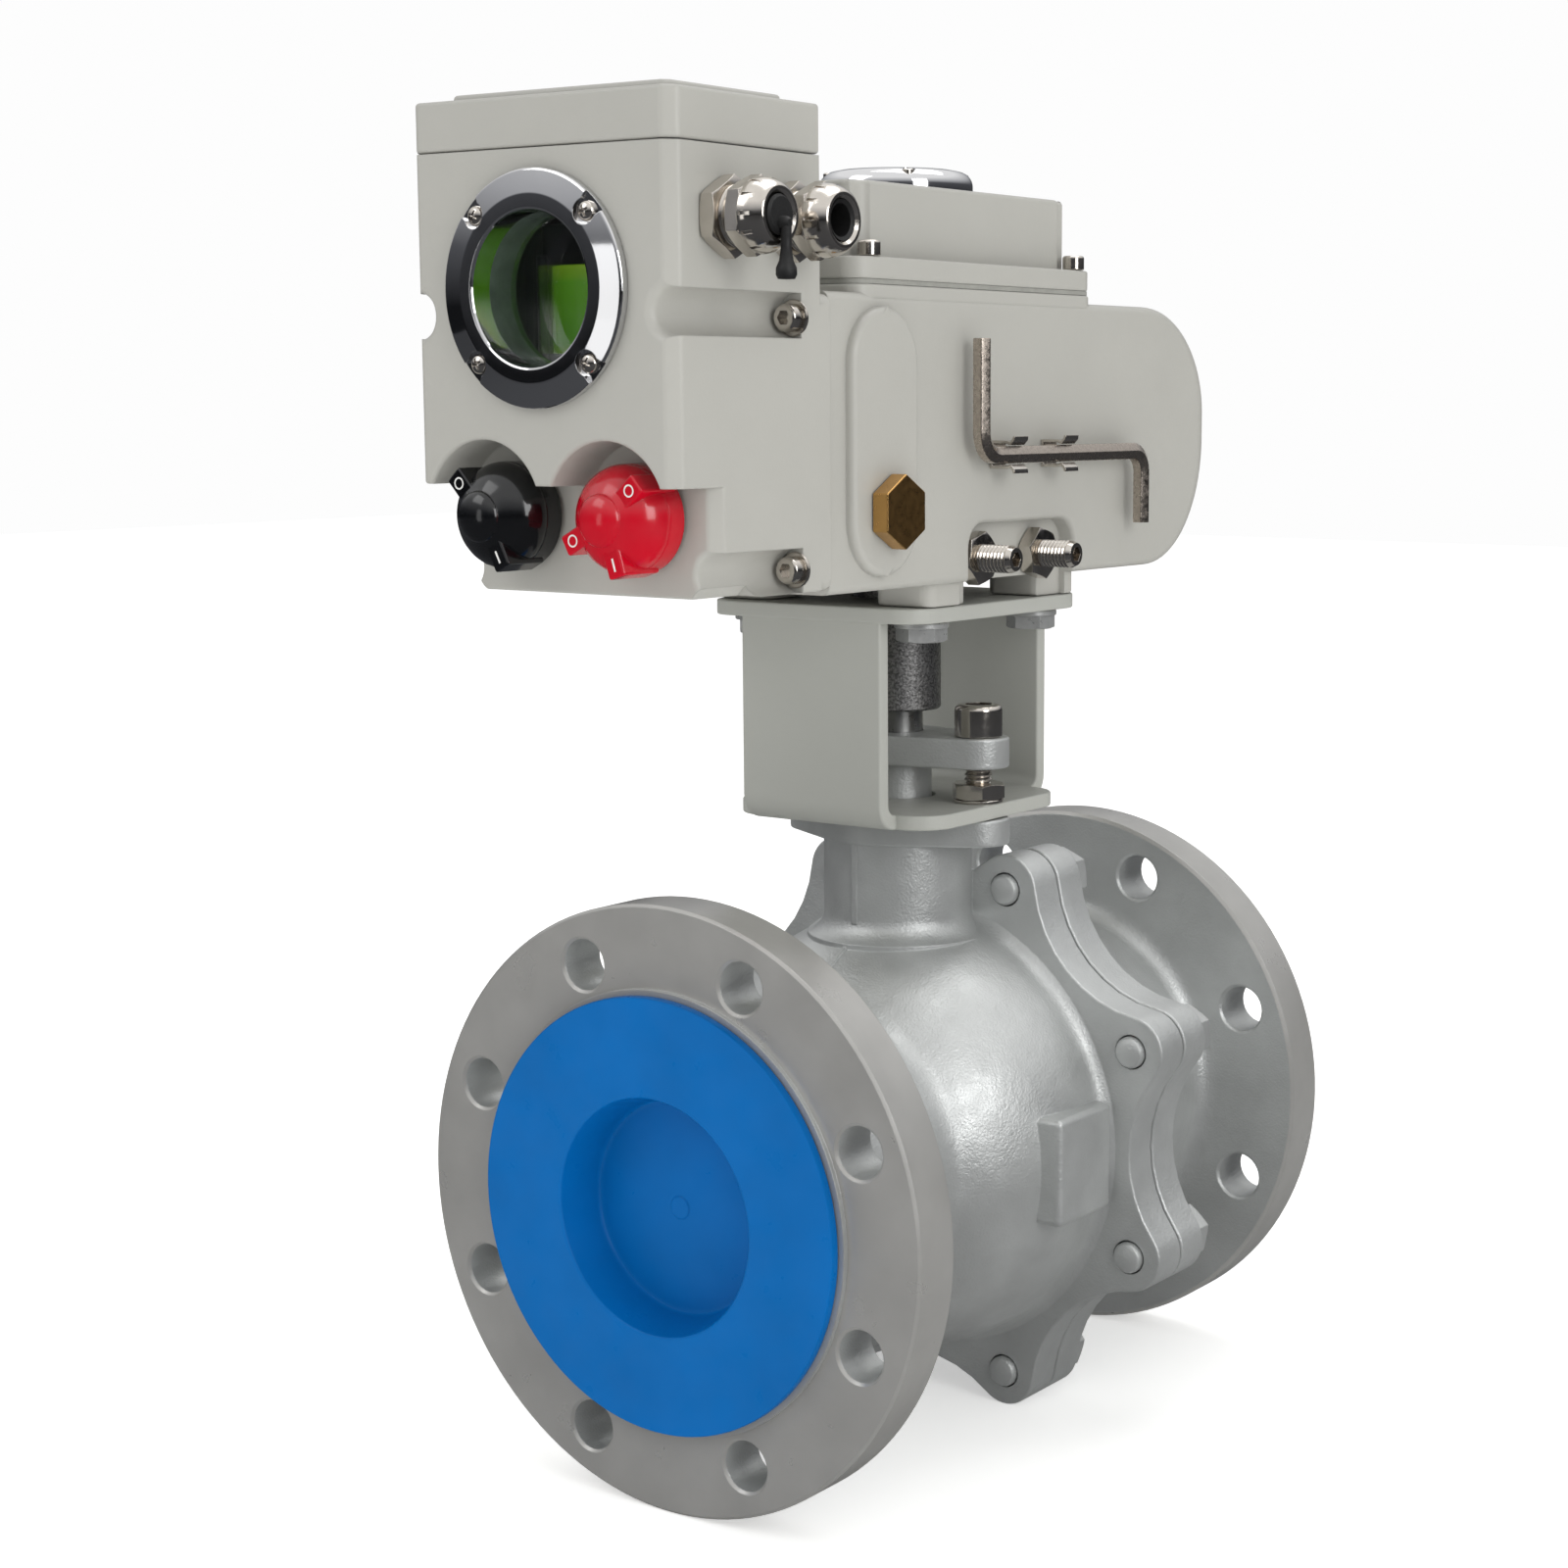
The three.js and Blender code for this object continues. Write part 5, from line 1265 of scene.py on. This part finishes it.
class VALVE_OT_cable_glands(bpy.types.Operator):
    """Makes the two cable glands and the rubber blank in the front one"""
    bl_idname = "valve.cable_glands"
    bl_label = "Cable glands"

    def execute(self, context):
        for i, y in enumerate((-169.5, -137.2)):
            at = (y, 439.3)
            base = hex_head("x", 22, 54.8, 60.6, at, 90, both=True)
            waist = thread("x", 9.6, 60.5, 64.6, 1.2, at, 40)
            nut = hex_head("x", 21.5, 64.4, 70.0, at, 84, both=True)
            dome = [(6.6, 69), (10.9, 69), (11.6, 69.6), (11.6, 71), (11.2, 73.6), (10.2, 75.6), (9.4, 77.0),
                    (8.6, 77.5), (7.6, 77.5), (6.6, 76.6)]
            crown = spun("x", dome, at, 64)
            ribs = [block((70.2, 76.5), (-0.55, 0.55), (11.0, 12.4)) for _ in range(12)]
            for k, rib in enumerate(ribs):
                bmesh.ops.rotate(rib, verts=rib.verts, cent=(0, 0, 0), matrix=Matrix.Rotation(radians(30 * k), 3, "X"))
                bmesh.ops.translate(rib, verts=rib.verts, vec=(0, at[0], at[1]))
            crown = cut(crown, *ribs)
            solid = merged(rod("x", 9.8, 40, 55.2, at, 40), base, waist, nut)
            solid = cut(solid, rod("x", 6.6, 38, 80, at, 40), overlapping=True)
            piece(f"cable_gland_body_{i + 1}", merged(solid, crown), FINISHES["nickel"], "valve",
                  replaces=[f"cable_gland_{i + 1}"])
            sleeve = [(5.2, 58), (6.4, 58), (6.4, 76.8), (5.2, 76.0)]
            if i:
                piece("gland_rubber_insert", spun("x", sleeve, at, 48), FINISHES["rubber"], "valve")
        self.blank((-169.5, 439.3))
        return {"FINISHED"}

    def blank(self, at):
        plug = rod("x", 6.2, 69, 77.9, at, 40, 0.8)
        stub = spun("x", [(0, 77), (2.4, 77), (2.0, 80.0), (1.2, 81), (0, 81)], (at[0], at[1] - 2.6), 24)
        tail = [(0, 419.9), (2.6, 420.1), (3.3, 421.4), (3.2, 423.4), (2.2, 425.6), (1.7, 429), (1.7, 436), (1.2, 437.6),
                (0, 437.8)]
        pull = spun("z", tail, (79.4, at[0]), 24)
        piece("gland_rubber_blank", merged(plug, stub, pull), FINISHES["rubber"], "blank",
              replaces=["gland_plug"])


# ------------------------------------------------------------------ stage
class VALVE_OT_stage(bpy.types.Operator):
    """Sets up the pale floor, the soft lights and the camera"""
    bl_idname = "valve.stage"
    bl_label = "Stage"

    def execute(self, context):
        scene = context.scene
        floor_material = self.floor_paper()
        bm = bmesh.new()
        bmesh.ops.create_grid(bm, x_segments=1, y_segments=1, size=6)
        mesh = bpy.data.meshes.new("floor")
        bm.to_mesh(mesh)
        bm.free()
        mesh.materials.append(floor_material)
        floor = bpy.data.objects.new("floor", mesh)
        scene.collection.objects.link(floor)
        scene.world = self.studio()
        scene.view_settings.view_transform = "Standard"
        self.light("key", (-0.9, -1.5, 1.7), (1.1, 1.1), 7)
        self.light("fill", (1.9, -0.6, 0.9), (0.8, 1.1), 13)
        self.light("top", (0.1, 0.5, 2.1), (1.4, 1.4), 10)
        self.light("front strip", (-0.72, -2.0, 0.32), (0.35, 0.9), 1.2)
        self.camera(scene)
        return {"FINISHED"}

    @staticmethod
    def floor_paper():
        """White paper, bright to the eye; polished metal sees a painted dark reflection of it, a dark grey in place of
        the paper.
        """
        material, tree, shader, place = start("pale floor paper", "#F4F4F2", 0.0, 0.8)
        shader.inputs["Emission Color"].default_value = linear("#FFFFFF")
        shader.inputs["Emission Strength"].default_value = 0.42
        mottle(tree, shader, place, "#F4F4F2", 0.01, 300)
        # painted dark reflection: the dark grey that glossy rays see in place of the white paper
        painted_dark_reflection = add(tree, "ShaderNodeBsdfDiffuse", Color=linear("#4C4D50"))
        glossy = add(tree, "ShaderNodeLightPath").outputs["Is Glossy Ray"]
        both = add(tree, "ShaderNodeMixShader", [(glossy, 0), (shader.outputs[0], 1), (painted_dark_reflection.outputs[0], 2)])
        tree.links.new(both.outputs[0], tree.nodes["Material Output"].inputs["Surface"])
        return material

    def studio(self):
        """White to the eye; to the metal, a bright ceiling over dark walls."""
        world = bpy.data.worlds.new("white studio")
        world.use_nodes = True
        tree = world.node_tree
        seen = tree.nodes["Background"]
        seen.inputs["Color"].default_value = linear("#FDFDFD")
        place = add(tree, "ShaderNodeTexCoord").outputs["Generated"]
        height = add(tree, "ShaderNodeSeparateXYZ", [(place, "Vector")])
        walls = add(tree, "ShaderNodeValToRGB", [(height.outputs["Z"], "Fac")])
        walls.color_ramp.elements[0].color = linear("#17181A")
        walls.color_ramp.elements[1].color = linear("#FFFFFF")
        walls.color_ramp.elements[1].position = 0.62
        walls.color_ramp.elements.new(0.14).color = linear("#55565A")
        walls.color_ramp.elements.new(0.3).color = linear("#B4B5B8")
        mirrored = add(tree, "ShaderNodeBackground", [(walls.outputs["Color"], "Color")], Strength=1.0)
        soft = add(tree, "ShaderNodeBackground", Strength=0.72)
        rays = add(tree, "ShaderNodeLightPath").outputs
        lit = add(tree, "ShaderNodeMixShader", [(rays["Is Glossy Ray"], 0), (soft.outputs[0], 1), (mirrored.outputs[0], 2)])
        both = add(tree, "ShaderNodeMixShader", [(rays["Is Camera Ray"], 0), (lit.outputs[0], 1), (seen.outputs[0], 2)])
        tree.links.new(both.outputs[0], tree.nodes["World Output"].inputs["Surface"])
        soft.inputs["Color"].default_value = linear("#FFFFFF")
        return world

    def light(self, name, place, spread, power):
        data = bpy.data.lights.new(name, "AREA")
        data.shape = "RECTANGLE"
        data.size, data.size_y = spread
        data.energy = power
        lamp = bpy.data.objects.new(name, data)
        lamp.location = place
        lamp.rotation_euler = (Vector((0, 0, 0.25)) - Vector(place)).to_track_quat("-Z", "Y").to_euler()
        bpy.context.scene.collection.objects.link(lamp)

    def camera(self, scene):
        data = bpy.data.cameras.new("camera")
        data.lens = 63.71
        data.sensor_width = 36
        data.shift_x = -0.1047
        data.shift_y = 0.0161
        camera = bpy.data.objects.new("camera", data)
        camera.location = (0.5995, -0.8462 + STEM_Y, 0.3851)
        camera.rotation_euler = (radians(90 - 8.467), 0, radians(34.267))
        scene.collection.objects.link(camera)
        scene.camera = camera


STEPS = (VALVE_OT_finishes, VALVE_OT_body, VALVE_OT_adapter, VALVE_OT_studs, VALVE_OT_caps, VALVE_OT_gland,
         VALVE_OT_bracket, VALVE_OT_housing, VALVE_OT_cover, VALVE_OT_side_fittings, VALVE_OT_control_box,
         VALVE_OT_window, VALVE_OT_knobs, VALVE_OT_cable_glands, VALVE_OT_stage)


class VALVE_PT_panel(bpy.types.Panel):
    """Lists the steps that build the valve"""
    bl_idname = "VALVE_PT_panel"
    bl_label = "Motorised ball valve"
    bl_space_type = "VIEW_3D"
    bl_region_type = "UI"
    bl_category = "Valve"

    def draw(self, context):
        for group in (context.scene.valve_sizes, context.scene.actuator_sizes, context.scene.valve_colours):
            for key in group.__annotations__:
                self.layout.prop(group, key)
        for step in STEPS:
            self.layout.operator(step.bl_idname)


GROUPS = {"valve_sizes": ValveSizes, "actuator_sizes": ActuatorSizes, "valve_colours": FinishColours}


def register():
    for kind in (*GROUPS.values(), *STEPS, VALVE_PT_panel):
        bpy.utils.register_class(kind)
    for name, kind in GROUPS.items():
        setattr(bpy.types.Scene, name, bpy.props.PointerProperty(type=kind))


def unregister():
    for name in GROUPS:
        delattr(bpy.types.Scene, name)
    for kind in reversed((*GROUPS.values(), *STEPS, VALVE_PT_panel)):
        bpy.utils.unregister_class(kind)


def main():
    register()
    for step in STEPS:
        group, action = step.bl_idname.split(".")
        getattr(getattr(bpy.ops, group), action)()


if __name__ == "__main__":
    main()
